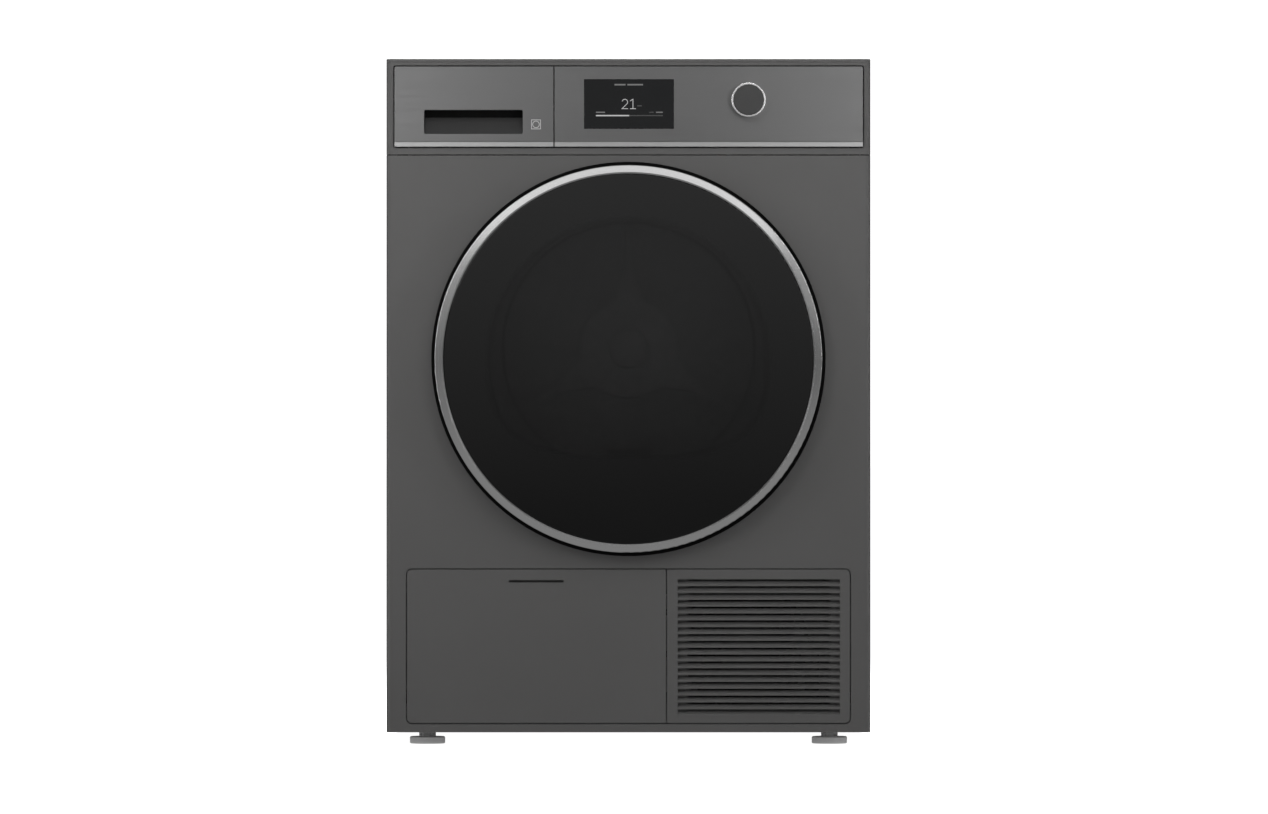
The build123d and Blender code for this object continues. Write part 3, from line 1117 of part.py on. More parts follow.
# Latch hook on the door and the catch behind the front panel.
with BuildPart() as latch_hook:
    block(LATCH_X - 8, LATCH_X + 8, DOOR_BACK_Y, DOOR_BACK_Y + 2.5, LATCH_Z - 9, LATCH_Z + 9)
    with BuildSketch(Plane.YZ.offset(LATCH_X - 3)):
        Polygon(
            (DOOR_BACK_Y + 2, LATCH_Z - 5),
            (-288.0, LATCH_Z - 5),
            (-281.0, LATCH_Z + 0),
            (-284.0, LATCH_Z + 6.5),
            (-289.0, LATCH_Z + 6.5),
            (-289.0, LATCH_Z + 3),
            (DOOR_BACK_Y + 2, LATCH_Z + 3),
            align=None,
        )
    extrude(amount=6.0)
latch_hook.part.label = "latch_hook"
export_step(latch_hook.part, "parts/latch_hook.step")

with BuildPart() as door_catch:
    block(LATCH_X - 11, LATCH_X + 11, PANEL_Y + SHEET, -270.0, LATCH_Z - 16, LATCH_Z + 16)
    fillet(door_catch.edges().filter_by(Axis.Y), 3.0)
    block(LATCH_X - 5, LATCH_X + 5, PANEL_Y + SHEET, -275.0, LATCH_Z - 9, LATCH_Z + 9, Mode.SUBTRACT)
door_catch.part.label = "door_catch"
export_step(door_catch.part, "parts/door_catch.step")

# Hinge: a base plate sunk in the surround with two arms that reach into the door and the upright pin
# riveted in them, and the leaf on the door that turns on the pin.
with BuildPart() as hinge_bracket:
    block(
        PLATE_X0 + CLEAR,
        PLATE_X1 - CLEAR,
        SURROUND_Y,
        SURROUND_Y + PLATE_T,
        DOOR_Z - PLATE_HALF + CLEAR,
        DOOR_Z + PLATE_HALF - CLEAR,
    )
    for side in (-1, 1):
        with BuildSketch(Plane.XY.offset(DOOR_Z + side * ARM_OFFSET - ARM_T / 2)):
            with Locations((HINGE_X, HINGE_Y)):
                Circle(KNUCKLE_R)
            with Locations((212.0, SURROUND_Y + 1)):
                Rectangle(11.0, 2.0, align=(CENTRE, HIGH))
            make_hull()
        extrude(amount=ARM_T)
    post(HINGE_PIN_R, HINGE_X, HINGE_Y, DOOR_Z - ARM_OFFSET - 4, DOOR_Z + ARM_OFFSET + 4)
hinge_bracket.part.label = "hinge_bracket"
export_step(hinge_bracket.part, "parts/hinge_bracket.step")

LEAF_HALF = ARM_OFFSET - ARM_T / 2 - CLEAR
with BuildPart() as door_hinge_leaf:
    post(KNUCKLE_R, HINGE_X, HINGE_Y, DOOR_Z - LEAF_HALF, DOOR_Z + LEAF_HALF)
    block(202.5, HINGE_X - 1, HINGE_Y - 1.5, HINGE_Y + 1.5, DOOR_Z - LEAF_HALF, DOOR_Z + LEAF_HALF)
    block(202.5, 205.0, GLASS_Y1, DOOR_BACK_Y - 1, DOOR_Z - LEAF_HALF, DOOR_Z + LEAF_HALF)
    post(HINGE_PIN_R + RUN, HINGE_X, HINGE_Y, DOOR_Z - LEAF_HALF, DOOR_Z + LEAF_HALF, Mode.SUBTRACT)
door_hinge_leaf.part.label = "door_hinge_leaf"
export_step(door_hinge_leaf.part, "parts/door_hinge_leaf.step")
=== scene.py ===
"""Looks of the free-standing heat-pump tumble dryer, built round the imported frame."""

import math

import bpy
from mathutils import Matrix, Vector


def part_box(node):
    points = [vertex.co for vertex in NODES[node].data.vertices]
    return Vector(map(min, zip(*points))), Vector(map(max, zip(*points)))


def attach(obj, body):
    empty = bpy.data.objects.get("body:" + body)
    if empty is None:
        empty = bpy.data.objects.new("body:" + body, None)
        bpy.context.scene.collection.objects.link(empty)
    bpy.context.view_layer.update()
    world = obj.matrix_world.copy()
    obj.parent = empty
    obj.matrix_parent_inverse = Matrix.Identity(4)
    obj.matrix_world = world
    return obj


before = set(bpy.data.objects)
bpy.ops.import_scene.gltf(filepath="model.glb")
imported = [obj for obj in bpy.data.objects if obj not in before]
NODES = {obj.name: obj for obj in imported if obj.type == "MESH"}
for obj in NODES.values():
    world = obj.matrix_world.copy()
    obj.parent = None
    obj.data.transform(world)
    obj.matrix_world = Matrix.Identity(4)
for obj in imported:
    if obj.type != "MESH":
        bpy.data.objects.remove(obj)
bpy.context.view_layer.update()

MM = 0.001


# --- Places taken from the frame ----------------------------------------------------------------
def low_corner(node):
    return Vector(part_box(node)[0])


def high_corner(node):
    return Vector(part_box(node)[1])


def middle(node):
    return (low_corner(node) + high_corner(node)) / 2


DOOR_CENTRE = middle("door_glass")
DRUM_CENTRE = middle("drum_shell")
KNOB_CENTRE = middle("knob_ring")
PANEL_Y = low_corner("front_panel")[1]


# --- Node helpers -------------------------------------------------------------------------------
class Tree:
    """A material's node tree with short calls for the few node types used here."""

    def __init__(self, name):
        self.material = bpy.data.materials.new(name)
        self.material.use_nodes = True
        self.nodes = self.material.node_tree.nodes
        self.links = self.material.node_tree.links
        self.shader = self.nodes["Principled BSDF"]
        self.place = self.add("ShaderNodeTexCoord").outputs["Object"]

    def add(self, kind, **settings):
        node = self.nodes.new(kind)
        for key, value in settings.items():
            setattr(node, key, value)
        return node

    def link(self, source, target):
        self.links.new(source, target)

    def set(self, values):
        """Constants on the shader's own sockets."""
        for socket, value in values.items():
            self.shader.inputs[socket].default_value = value

    def stretch(self, scale):
        """Object coordinates scaled differently along X, Y and Z."""
        mapping = self.add("ShaderNodeMapping")
        mapping.inputs["Scale"].default_value = scale
        self.link(self.place, mapping.inputs["Vector"])
        return mapping.outputs["Vector"]

    def noise(self, scale, detail=2.0, vector=None, roughness=0.5):
        """Noise with about that many grains to the metre, or to the unit of a stretched vector."""
        node = self.add("ShaderNodeTexNoise")
        node.inputs["Scale"].default_value = scale
        node.inputs["Detail"].default_value = detail
        node.inputs["Roughness"].default_value = roughness
        self.link(vector or self.place, node.inputs["Vector"])
        return node.outputs["Fac"]

    def remap(self, value, low, high, source_low=0.3, source_high=0.7):
        """value, which runs from source_low to source_high, spread over low to high."""
        node = self.add("ShaderNodeMapRange")
        node.inputs["From Min"].default_value = source_low
        node.inputs["From Max"].default_value = source_high
        node.inputs["To Min"].default_value = low
        node.inputs["To Max"].default_value = high
        self.link(value, node.inputs["Value"])
        return node.outputs["Result"]

    def mix(self, factor, first, second):
        """A colour between two; each may be a colour or an output."""
        node = self.add("ShaderNodeMix", data_type="RGBA")
        self.link(factor, node.inputs["Factor"])
        for socket, value in (("A", first), ("B", second)):
            target = [s for s in node.inputs if s.name == socket and s.type == "RGBA"][0]
            if isinstance(value, tuple):
                target.default_value = value
            else:
                self.link(value, target)
        return [s for s in node.outputs if s.type == "RGBA"][0]

    def math(self, operation, first, second=0.0, clamp=False):
        """One operation on two values; each may be a number or an output."""
        node = self.add("ShaderNodeMath", operation=operation, use_clamp=clamp)
        for socket, value in zip(node.inputs, (first, second)):
            if isinstance(value, (int, float)):
                socket.default_value = value
            else:
                self.link(value, socket)
        return node.outputs["Value"]

    def axis(self, letter):
        """One of the object coordinates."""
        node = self.add("ShaderNodeSeparateXYZ")
        self.link(self.place, node.inputs["Vector"])
        return node.outputs[letter]

    def soft_edges(self, radius):
        """The surface normal with its sharp edges rounded."""
        node = self.add("ShaderNodeBevel", samples=4)
        node.inputs["Radius"].default_value = radius
        return node.outputs["Normal"]

    def edge_wear(self, radius):
        """Worn sharp edges, broken up by noise: 0 away from an edge.

        The cosine between the rounded and the true normal falls below 1 beside an edge.
        """
        rounded = self.soft_edges(radius)
        flat = self.add("ShaderNodeNewGeometry").outputs["Normal"]
        dot = self.add("ShaderNodeVectorMath", operation="DOT_PRODUCT")
        self.link(rounded, dot.inputs[0])
        self.link(flat, dot.inputs[1])
        edge = self.remap(dot.outputs["Value"], 1.0, 0.0, 0.90, 0.995)
        spots = self.remap(self.noise(90.0, 4.0), 0.0, 1.0, 0.42, 0.62)
        return self.math("MULTIPLY", edge, spots, clamp=True)

    def bump(self, height, depth, normal=None, strength=1.0):
        """Relief of that depth in metres on the shader's normal."""
        node = self.add("ShaderNodeBump")
        node.inputs["Strength"].default_value = strength
        node.inputs["Distance"].default_value = depth
        self.link(height, node.inputs["Height"])
        if normal is not None:
            self.link(normal, node.inputs["Normal"])
        self.link(node.outputs["Normal"], self.shader.inputs["Normal"])


def grey(level):
    return (level, level, level, 1.0)


def tinted(level, warmth):
    """Grey with that share more red and less blue."""
    return (level * (1 + warmth), level, level * (1 - warmth), 1.0)


# --- Materials ----------------------------------------------------------------------------------
# The radius to which each kind of finish rounds a sharp edge.
SOFT_EDGE_R = 0.4 * MM
METAL_EDGE_R = 0.3 * MM
RUBBER_EDGE_R = 0.5 * MM
GLASS_EDGE_R = 0.6 * MM


def powder_coat(name, level, roughness=0.42, texture=1.0):
    """Satin powder coat: fine orange peel, faint clouding and a little edge wear."""
    tree = Tree(name)
    clouds = tree.remap(tree.noise(5.0, 4.0), 0.0, 1.0)
    body = tree.mix(clouds, tinted(level * 0.96, 0.012), tinted(level * 1.04, 0.012))
    worn = tree.mix(tree.edge_wear(SOFT_EDGE_R), body, tinted(level * 1.7, 0.01))
    tree.link(worn, tree.shader.inputs["Base Color"])
    sheen = tree.noise(60.0, 3.0)
    tree.link(tree.remap(sheen, roughness - 0.05, roughness + 0.06), tree.shader.inputs["Roughness"])
    peel = tree.noise(900.0, 2.0)
    tree.bump(peel, 0.04 * MM * texture, tree.soft_edges(SOFT_EDGE_R), 0.5)
    tree.set({"IOR": 1.46})
    return tree.material


def moulded(name, level, roughness=0.5, grain=650.0, depth=0.06 * MM, warmth=0.0):
    """Moulded plastic with a fine spark-eroded grain."""
    tree = Tree(name)
    tone = tree.remap(tree.noise(14.0, 3.0), 0.0, 1.0)
    body = tree.mix(tone, tinted(level * 0.93, warmth), tinted(level * 1.07, warmth))
    worn_colour = tinted(min(1.0, level * 1.5 + 0.01), warmth)
    worn = tree.mix(tree.edge_wear(SOFT_EDGE_R), body, worn_colour)
    tree.link(worn, tree.shader.inputs["Base Color"])
    shine = tree.remap(tree.noise(40.0), roughness - 0.06, roughness + 0.06)
    tree.link(shine, tree.shader.inputs["Roughness"])
    tree.bump(tree.noise(grain, 3.0), depth, tree.soft_edges(SOFT_EDGE_R), 0.5)
    return tree.material


BRUSH_FINENESS = 900.0
BRUSH_LENGTHENING = 100.0


def brushed(name, level, roughness, along, lines=1.0, depth=0.02 * MM, contrast=0.11):
    """Metal with fine brush lines. along is the axis that the lines run along."""
    tree = Tree(name)
    scale = [BRUSH_FINENESS] * 3
    scale["XYZ".index(along)] /= BRUSH_LENGTHENING
    strokes = tree.noise(lines, 4.0, tree.stretch(scale), 0.7)
    dark, light = grey(level * (1 - contrast)), grey(level * (1 + contrast))
    body = tree.mix(tree.remap(strokes, 0.0, 1.0), dark, light)
    tree.link(body, tree.shader.inputs["Base Color"])
    tree.link(tree.remap(strokes, roughness - 0.07, roughness + 0.07), tree.shader.inputs["Roughness"])
    tree.bump(strokes, depth, tree.soft_edges(METAL_EDGE_R), 0.6)
    tree.set({"Metallic": 1.0})
    return tree.material


def turned(name, level, roughness, centre):
    """Metal brushed round a front-to-back axis through centre, such as a ring or a disc."""
    tree = Tree(name)
    shift = tree.add("ShaderNodeVectorMath", operation="SUBTRACT")
    tree.link(tree.place, shift.inputs[0])
    shift.inputs[1].default_value = centre
    split = tree.add("ShaderNodeSeparateXYZ")
    tree.link(shift.outputs["Vector"], split.inputs["Vector"])
    sideways = tree.math("POWER", split.outputs["X"], 2.0)
    upright = tree.math("POWER", split.outputs["Z"], 2.0)
    radius = tree.math("SQRT", tree.math("ADD", sideways, upright))
    join = tree.add("ShaderNodeCombineXYZ")
    tree.link(radius, join.inputs["X"])
    tree.link(split.outputs["Y"], join.inputs["Y"])
    strokes = tree.noise(2600.0, 3.0, join.outputs["Vector"], 0.6)
    smudge = tree.noise(12.0, 3.0)
    body = tree.mix(tree.remap(strokes, 0.0, 1.0), grey(level * 0.93), grey(level * 1.05))
    tree.link(body, tree.shader.inputs["Base Color"])
    smudged = tree.remap(smudge, roughness - 0.03, roughness + 0.03)
    mottled = tree.math("ADD", tree.remap(strokes, -0.03, 0.03), smudged)
    tree.link(mottled, tree.shader.inputs["Roughness"])
    tree.bump(strokes, 0.006 * MM, tree.soft_edges(METAL_EDGE_R), 0.5)
    tree.set({"Metallic": 1.0})
    return tree.material


def rubber(name, level):
    """Soft black rubber with a dusty bloom."""
    tree = Tree(name)
    bloom = tree.remap(tree.noise(35.0, 5.0), 0.0, 1.0)
    body = tree.mix(bloom, grey(level * 0.8), grey(level * 1.9))
    tree.link(body, tree.shader.inputs["Base Color"])
    tree.link(tree.remap(bloom, 0.62, 0.8, 0.0, 1.0), tree.shader.inputs["Roughness"])
    tree.bump(tree.noise(500.0, 4.0), 0.08 * MM, tree.soft_edges(RUBBER_EDGE_R), 0.6)
    return tree.material


def matt_black(name, level):
    """Black plastic with a coarse grain that takes the shine off it."""
    tree = Tree(name)
    tone = tree.remap(tree.noise(30.0, 3.0), 0.0, 1.0)
    tree.link(tree.mix(tone, grey(level * 0.7), grey(level * 1.3)), tree.shader.inputs["Base Color"])
    tree.link(tree.remap(tone, 0.8, 0.9, 0.0, 1.0), tree.shader.inputs["Roughness"])
    tree.bump(tree.noise(700.0, 4.0), 0.08 * MM, strength=0.6)
    tree.set({"IOR": 1.2})
    return tree.material


def felt(name):
    """Pressed wool felt: short matted fibres."""
    tree = Tree(name)
    fibres = tree.noise(700.0, 6.0, tree.stretch((1.0, 3.0, 1.0)), 0.75)
    body = tree.mix(tree.remap(fibres, 0.0, 1.0), (0.27, 0.24, 0.19, 1.0), (0.5, 0.46, 0.38, 1.0))
    tree.link(body, tree.shader.inputs["Base Color"])
    tree.bump(fibres, 0.4 * MM, strength=0.9)
    tree.set({"Roughness": 0.95})
    return tree.material


# The see-through window in the door: its radius above and beside the centre, and its depth below it.
WINDOW_R = 177 * MM
WINDOW_DROP = 125 * MM


def rounded_distance(tree, sideways, upright, power):
    """1 on the outline where the two lengths, each raised to power, add up to 1. Less inside it."""
    total = tree.math("ADD", tree.math("POWER", sideways, power), tree.math("POWER", upright, power))
    return tree.math("POWER", total, 1 / power)


def window_border(tree):
    """How far out a point lies: 1 on the edge of a window that is round above and flatter below."""
    across = tree.math("ABSOLUTE", tree.math("SUBTRACT", tree.axis("X"), DOOR_CENTRE[0]))
    up = tree.math("SUBTRACT", tree.axis("Z"), DOOR_CENTRE[2])
    sideways = tree.math("DIVIDE", across, WINDOW_R)
    rise = tree.math("DIVIDE", tree.math("MAXIMUM", up, 0.0), WINDOW_R)
    fall = tree.math("DIVIDE", tree.math("MAXIMUM", tree.math("MULTIPLY", up, -1.0), 0.0), WINDOW_DROP)
    below = tree.math("GREATER_THAN", fall, 0.0)
    above = tree.math("SUBTRACT", 1.0, below)
    return tree.math(
        "ADD",
        tree.math("MULTIPLY", rounded_distance(tree, sideways, rise, 2.0), above),
        tree.math("MULTIPLY", rounded_distance(tree, sideways, fall, 3.0), below),
    )


def door_pane(name):
    """Tinted glass with a see-through window inside an opaque black printed border."""
    tree = Tree(name)
    band = tree.remap(window_border(tree), 0.0, 1.0, 0.94, 1.01)
    tree.link(tree.mix(band, grey(0.004), grey(0.0022)), tree.shader.inputs["Base Color"])
    tree.link(tree.remap(band, 0.72, 1.0, 0.0, 1.0), tree.shader.inputs["Alpha"])
    smears = tree.noise(6.0, 5.0)
    tree.link(tree.remap(smears, 0.02, 0.06), tree.shader.inputs["Roughness"])
    tree.bump(tree.noise(3.0, 1.0), 0.02 * MM, tree.soft_edges(GLASS_EDGE_R), 0.3)
    tree.set({"IOR": 1.5})
    return tree.material


def clear_bowl(name):
    """Clear moulded bowl with faint flow marks."""
    tree = Tree(name)
    flow = tree.noise(9.0, 3.0, tree.stretch((1.0, 1.0, 3.0)))
    body = tree.mix(tree.remap(flow, 0.0, 1.0), grey(0.10), grey(0.16))
    tree.link(body, tree.shader.inputs["Base Color"])
    tree.link(tree.remap(flow, 0.05, 0.12), tree.shader.inputs["Roughness"])
    tree.link(tree.remap(flow, 0.16, 0.24), tree.shader.inputs["Alpha"])
    tree.bump(flow, 0.2 * MM, strength=0.3)
    tree.set({"IOR": 1.49})
    return tree.material


def display_window(name):
    """Coated black window with a faint cold tint."""
    tree = Tree(name)
    clouds = tree.remap(tree.noise(25.0, 3.0), 0.0, 1.0)
    tint = tree.mix(clouds, (0.005, 0.0054, 0.006, 1.0), (0.007, 0.0076, 0.0085, 1.0))
    tree.link(tint, tree.shader.inputs["Base Color"])
    tree.link(tree.remap(tree.noise(18.0, 4.0), 0.06, 0.11), tree.shader.inputs["Roughness"])
    tree.bump(tree.noise(8.0, 1.0), 0.01 * MM, tree.soft_edges(SOFT_EDGE_R), 0.3)
    tree.set({"IOR": 1.38})
    return tree.material


def glowing(name, level):
    """Lit display segment."""
    tree = Tree(name)
    glow = tree.remap(tree.noise(400.0, 2.0), 0.0, 1.0)
    colour = tree.mix(glow, grey(level * 0.95), grey(level * 1.05))
    tree.link(colour, tree.shader.inputs["Emission Color"])
    tree.set({"Base Color": grey(0.01), "Emission Strength": 1.0, "Roughness": 0.4})
    return tree.material


def coated_print(name, level):
    """Screen-printed ink."""
    tree = Tree(name)
    speckle = tree.remap(tree.noise(2500.0, 2.0), 0.0, 1.0)
    tree.link(tree.mix(speckle, grey(level * 0.9), grey(level * 1.1)), tree.shader.inputs["Base Color"])
    tree.link(tree.remap(speckle, 0.45, 0.6, 0.0, 1.0), tree.shader.inputs["Roughness"])
    return tree.material


FIN_PITCH = 3.6 * MM
WAVE_LENGTH = 0.314  # one wave of the wave texture at scale 1, in metres


def finned(name):
    """Thin aluminium fins side by side across the coil."""
    tree = Tree(name)
    wave = tree.add("ShaderNodeTexWave", bands_direction="X")
    wave.inputs["Scale"].default_value = WAVE_LENGTH / FIN_PITCH
    wave.inputs["Distortion"].default_value = 0.4
    tree.link(tree.place, wave.inputs["Vector"])
    fins = wave.outputs["Fac"]
    tree.link(tree.mix(fins, grey(0.12), grey(0.7)), tree.shader.inputs["Base Color"])
    tree.link(tree.remap(tree.noise(60.0), 0.3, 0.45), tree.shader.inputs["Roughness"])
    tree.bump(fins, 0.6 * MM)
    tree.set({"Metallic": 1.0})
    return tree.material


def circuit_board(name):
    """Green solder mask with tracks."""
    tree = Tree(name)
    cells = tree.add("ShaderNodeTexVoronoi", feature="DISTANCE_TO_EDGE")
    cells.inputs["Scale"].default_value = 160.0
    tree.link(tree.place, cells.inputs["Vector"])
    tracks = tree.remap(cells.outputs["Distance"], 1.0, 0.0, 0.02, 0.08)
    mask = tree.mix(tracks, (0.01, 0.09, 0.04, 1.0), (0.03, 0.2, 0.08, 1.0))
    tree.link(mask, tree.shader.inputs["Base Color"])
    tree.link(tree.remap(tree.noise(90.0), 0.25, 0.4), tree.shader.inputs["Roughness"])
    tree.bump(tracks, 0.04 * MM)
    return tree.material


def woven_mesh(name, pitch):
    """Filter cloth: fine threads both ways."""
    tree = Tree(name)
    threads = []
    for letter in "XZ":
        turns = tree.math("MULTIPLY", tree.axis(letter), 2 * math.pi / pitch)
        threads.append(tree.math("ABSOLUTE", tree.math("SINE", turns)))
    weave = tree.math("MULTIPLY", threads[0], threads[1])
    tree.link(tree.mix(weave, grey(0.16), grey(0.03)), tree.shader.inputs["Base Color"])
    tree.link(tree.remap(tree.noise(80.0), 0.55, 0.7), tree.shader.inputs["Roughness"])
    tree.bump(weave, 0.3 * MM, tree.soft_edges(RUBBER_EDGE_R))
    return tree.material


MATERIALS = {
    "case_paint": powder_coat("graphite_coat", 0.118),
    "case_moulding": powder_coat("graphite_moulding", 0.118, 0.45, 1.2),
    "fascia": brushed("dark_satin_metal", 0.168, 0.40, "X", depth=0.008 * MM, contrast=0.03),
    "strip": brushed("anodised_strip", 0.44, 0.44, "X", depth=0.008 * MM, contrast=0.04),
    "door_ring": turned("satin_ring", 0.55, 0.22, tuple(DOOR_CENTRE)),
    "door_pane": door_pane("tinted_pane"),
    "bowl": clear_bowl("clear_bowl"),
    "display": display_window("display_window"),
    "black": moulded("black_moulding", 0.006, 0.45),
    "matt_black": matt_black("matt_black_moulding", 0.0022),
    # Near-black sheet in the handle cup, which paints the shade of the deep slot behind its ledge.
    "cup_painted_shade": matt_black("cup_painted_shade_black", 0.0105),
    "knob_ring": turned("knob_bright_ring", 0.9, 0.16, tuple(KNOB_CENTRE)),
    "knob_cap": moulded("knob_dark_cap", 0.045, 0.38, 900.0, 0.03 * MM),
    "cup": moulded("handle_cup_moulding", 0.03, 0.5),
    "rubber": rubber("door_rubber", 0.02),
    "felt": felt("wool_felt"),
    "drum": brushed("drum_stainless", 0.55, 0.32, "Z", 1.0),
    "drum_rear": turned("drum_rear_stainless", 0.42, 0.36, tuple(DRUM_CENTRE)),
    "drum_hub": turned("drum_hub_stainless", 0.62, 0.40, tuple(DRUM_CENTRE)),
    "zinc": brushed("zinc_sheet", 0.62, 0.42, "Z", 0.6),
    "steel": turned("turned_steel", 0.5, 0.3, (0.0, 0.0, 0.0)),
    "grey_moulding": moulded("grey_moulding", 0.16, 0.55),
    "pale_moulding": moulded("pale_moulding", 0.55, 0.5, warmth=0.02),
    "foot": moulded("foot_moulding", 0.85, 0.6),
    "enamel": powder_coat("motor_enamel", 0.12, 0.35),
    "black_enamel": powder_coat("compressor_enamel", 0.012, 0.3),
    "fins": finned("coil_fins"),
    "board": circuit_board("board_mask"),
    "filter": woven_mesh("filter_cloth", 0.9 * MM),
    "bright_segment": glowing("bright_segment", 0.46),
    "soft_segment": glowing("soft_segment", 0.14),
    "dim_segment": glowing("dim_segment", 0.04),
    "pale_ink": coated_print("pale_ink", 0.62),
}

FINISH = {
    "case_paint": ("left_side_panel", "right_side_panel", "front_panel", "top_panel"),
    "case_moulding": ("fascia_frame", "air_grille", "plinth_flap"),
    "fascia": ("control_fascia", "tank_front"),
    "strip": ("fascia_trim_strip", "tank_trim_strip"),
    "door_ring": ("door_trim_ring",),
    "door_pane": ("door_glass",),
    "bowl": ("door_bowl",),
    "display": ("display_glass",),
    "black": ("door_frame", "door_liner", "idler_pulley", "mains_gland"),
    "matt_black": ("door_surround",),
    "knob_ring": ("knob_ring",),
    "knob_cap": ("knob_cap",),
    "cup": ("tank_handle_cup",),
    "rubber": ("door_seal", "drive_belt", "support_roller_left", "support_roller_right"),
    "felt": ("drum_felt_seal",),
    "drum": ("drum_shell",),
    "drum_rear": ("drum_rear_wall",),
    "drum_hub": ("drum_hub",),
    "zinc": ("back_panel",),
    "steel": ("case_screws", "drum_bearing", "motor_shaft", "idler_arm", "hinge_bracket", "door_hinge_leaf",
              "latch_hook"),
    "grey_moulding": ("base_tray", "rear_duct_cover", "drain_spigot", "front_bulkhead", "drum_lifters",
                      "cover_lever"),
    "pale_moulding": ("condensate_pump", "heat_exchanger_cover", "door_catch", "process_fan", "water_tank"),
    "foot": ("foot_front_left", "foot_front_right", "foot_rear_left", "foot_rear_right"),
    "enamel": ("drive_motor",),
    "black_enamel": ("compressor",),
    "fins": ("evaporator", "condenser"),
    "board": ("control_board",),
    "filter": ("lint_filter",),
}
for finish, node_names in FINISH.items():
    for node_name in node_names:
        for material_slot in NODES[node_name].material_slots:
            material_slot.material = MATERIALS[finish]


# --- Display read-out and care symbol -----------------------------------------------------------
def mesh_piece(name, corners, faces, material):
    """A new object from corners in metres."""
    mesh = bpy.data.meshes.new(name)
    mesh.from_pydata(corners, [], faces)
    mesh.materials.append(material)
    obj = bpy.data.objects.new(name, mesh)
    bpy.context.collection.objects.link(obj)
    return obj


INK_DEPTH = 0.15 * MM
INK_PROUD = INK_DEPTH / 3
LEAST_MITRE = 0.4


def stroke(name, points, width, origin, material, closed=False):
    """A flat line of constant width, let into a front face so that a third of its depth stands out.

    Points are (x, z) in millimetres from origin, which lies in that face. The width is in millimetres.
    """
    count = len(points)
    sides = []
    for i, (x, z) in enumerate(points):
        here = Vector((x, z))
        into = (here - Vector(points[i - 1])).normalized()
        out = (Vector(points[(i + 1) % count]) - here).normalized()
        if not closed and i == 0:
            into = out
        if not closed and i == count - 1:
            out = into
        along = (into + out).normalized()
        reach = width / 2 / max(LEAST_MITRE, along.dot(into))
        across = Vector((-along[1], along[0])) * reach
        sides.append(((x + across[0], z + across[1]), (x - across[0], z - across[1])))
    corners = []
    for depth in (-INK_PROUD, INK_DEPTH - INK_PROUD):
        for pair in sides:
            corners += [(origin[0] + u * MM, origin[1] + depth, origin[2] + v * MM) for u, v in pair]
    back = 2 * count
    faces = []
    for i in range(count if closed else count - 1):
        a, b = 2 * i, 2 * ((i + 1) % count)
        faces += [
            (a, a + 1, b + 1, b),
            (back + a, back + b, back + b + 1, back + a + 1),
            (a, b, back + b, back + a),
            (a + 1, back + a + 1, back + b + 1, b + 1),
        ]
    if not closed:
        last = 2 * (count - 1)
        faces += [(0, back, back + 1, 1), (last, last + 1, back + last + 1, back + last)]
    return mesh_piece(name, corners, faces, material)


def arc(centre_x, centre_z, radius, start, stop, steps=14):
    """Points on an arc, in degrees from +X towards +Z."""
    angles = [math.radians(start + (stop - start) * i / steps) for i in range(steps + 1)]
    return [(centre_x + radius * math.cos(angle), centre_z + radius * math.sin(angle)) for angle in angles]


def circle(centre_x, centre_z, radius, count):
    """Points round a circle, for a closed stroke."""
    return arc(centre_x, centre_z, radius, 0, 360 - 360 / count, count - 1)


# The read-out: a two-digit number, a progress bar and plain dashes where words would stand. Points are
# in millimetres from the lower left corner of the display.
BASELINE = 25.0
DIGIT_WIDTH = 0.85
BAR_Z, STAGE_Z, UNIT_Z, TITLE_Z = 16.4, 20.5, 28.5, 54.7
BAR_START, BAR_DONE, BAR_END = 14.7, 55.9, 97.6
DIGIT_TWO = arc(50.6, 33.2, 3.4, 165, -40) + [(47.1, BASELINE), (54.6, BASELINE)]
# name: (points, width, finish)
SEGMENTS = {
    "digit_two": (DIGIT_TWO, DIGIT_WIDTH, "bright_segment"),
    "digit_one": ([(57.0, 34.5), (60.6, 36.6), (60.6, BASELINE)], DIGIT_WIDTH, "bright_segment"),
    "digit_one_foot": ([(57.0, BASELINE), (64.3, BASELINE)], DIGIT_WIDTH, "bright_segment"),
    "progress_done": ([(BAR_START, BAR_Z), (BAR_DONE, BAR_Z)], 1.6, "bright_segment"),
    "progress_left": ([(BAR_DONE, BAR_Z), (BAR_END, BAR_Z)], 1.3, "dim_segment"),
    "stage_dash_left": ([(BAR_START, STAGE_Z), (26.0, STAGE_Z)], 1.5, "soft_segment"),
    "stage_dash_right": ([(89.2, STAGE_Z), (BAR_END, STAGE_Z)], 1.5, "soft_segment"),
    "stage_dash_middle": ([(80.9, STAGE_Z), (86.4, STAGE_Z)], 1.3, "dim_segment"),
    "unit_dash": ([(66.0, UNIT_Z), (71.5, UNIT_Z)], 1.5, "dim_segment"),
    "title_dash_left": ([(37.7, TITLE_Z), (51.4, TITLE_Z)], 1.9, "soft_segment"),
    "title_dash_right": ([(53.6, TITLE_Z), (73.1, TITLE_Z)], 1.9, "soft_segment"),
}
for piece_name, (points, width, finish) in SEGMENTS.items():
    piece = stroke(piece_name, points, width, low_corner("display_glass"), MATERIALS[finish])
    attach(piece, "cabinet")

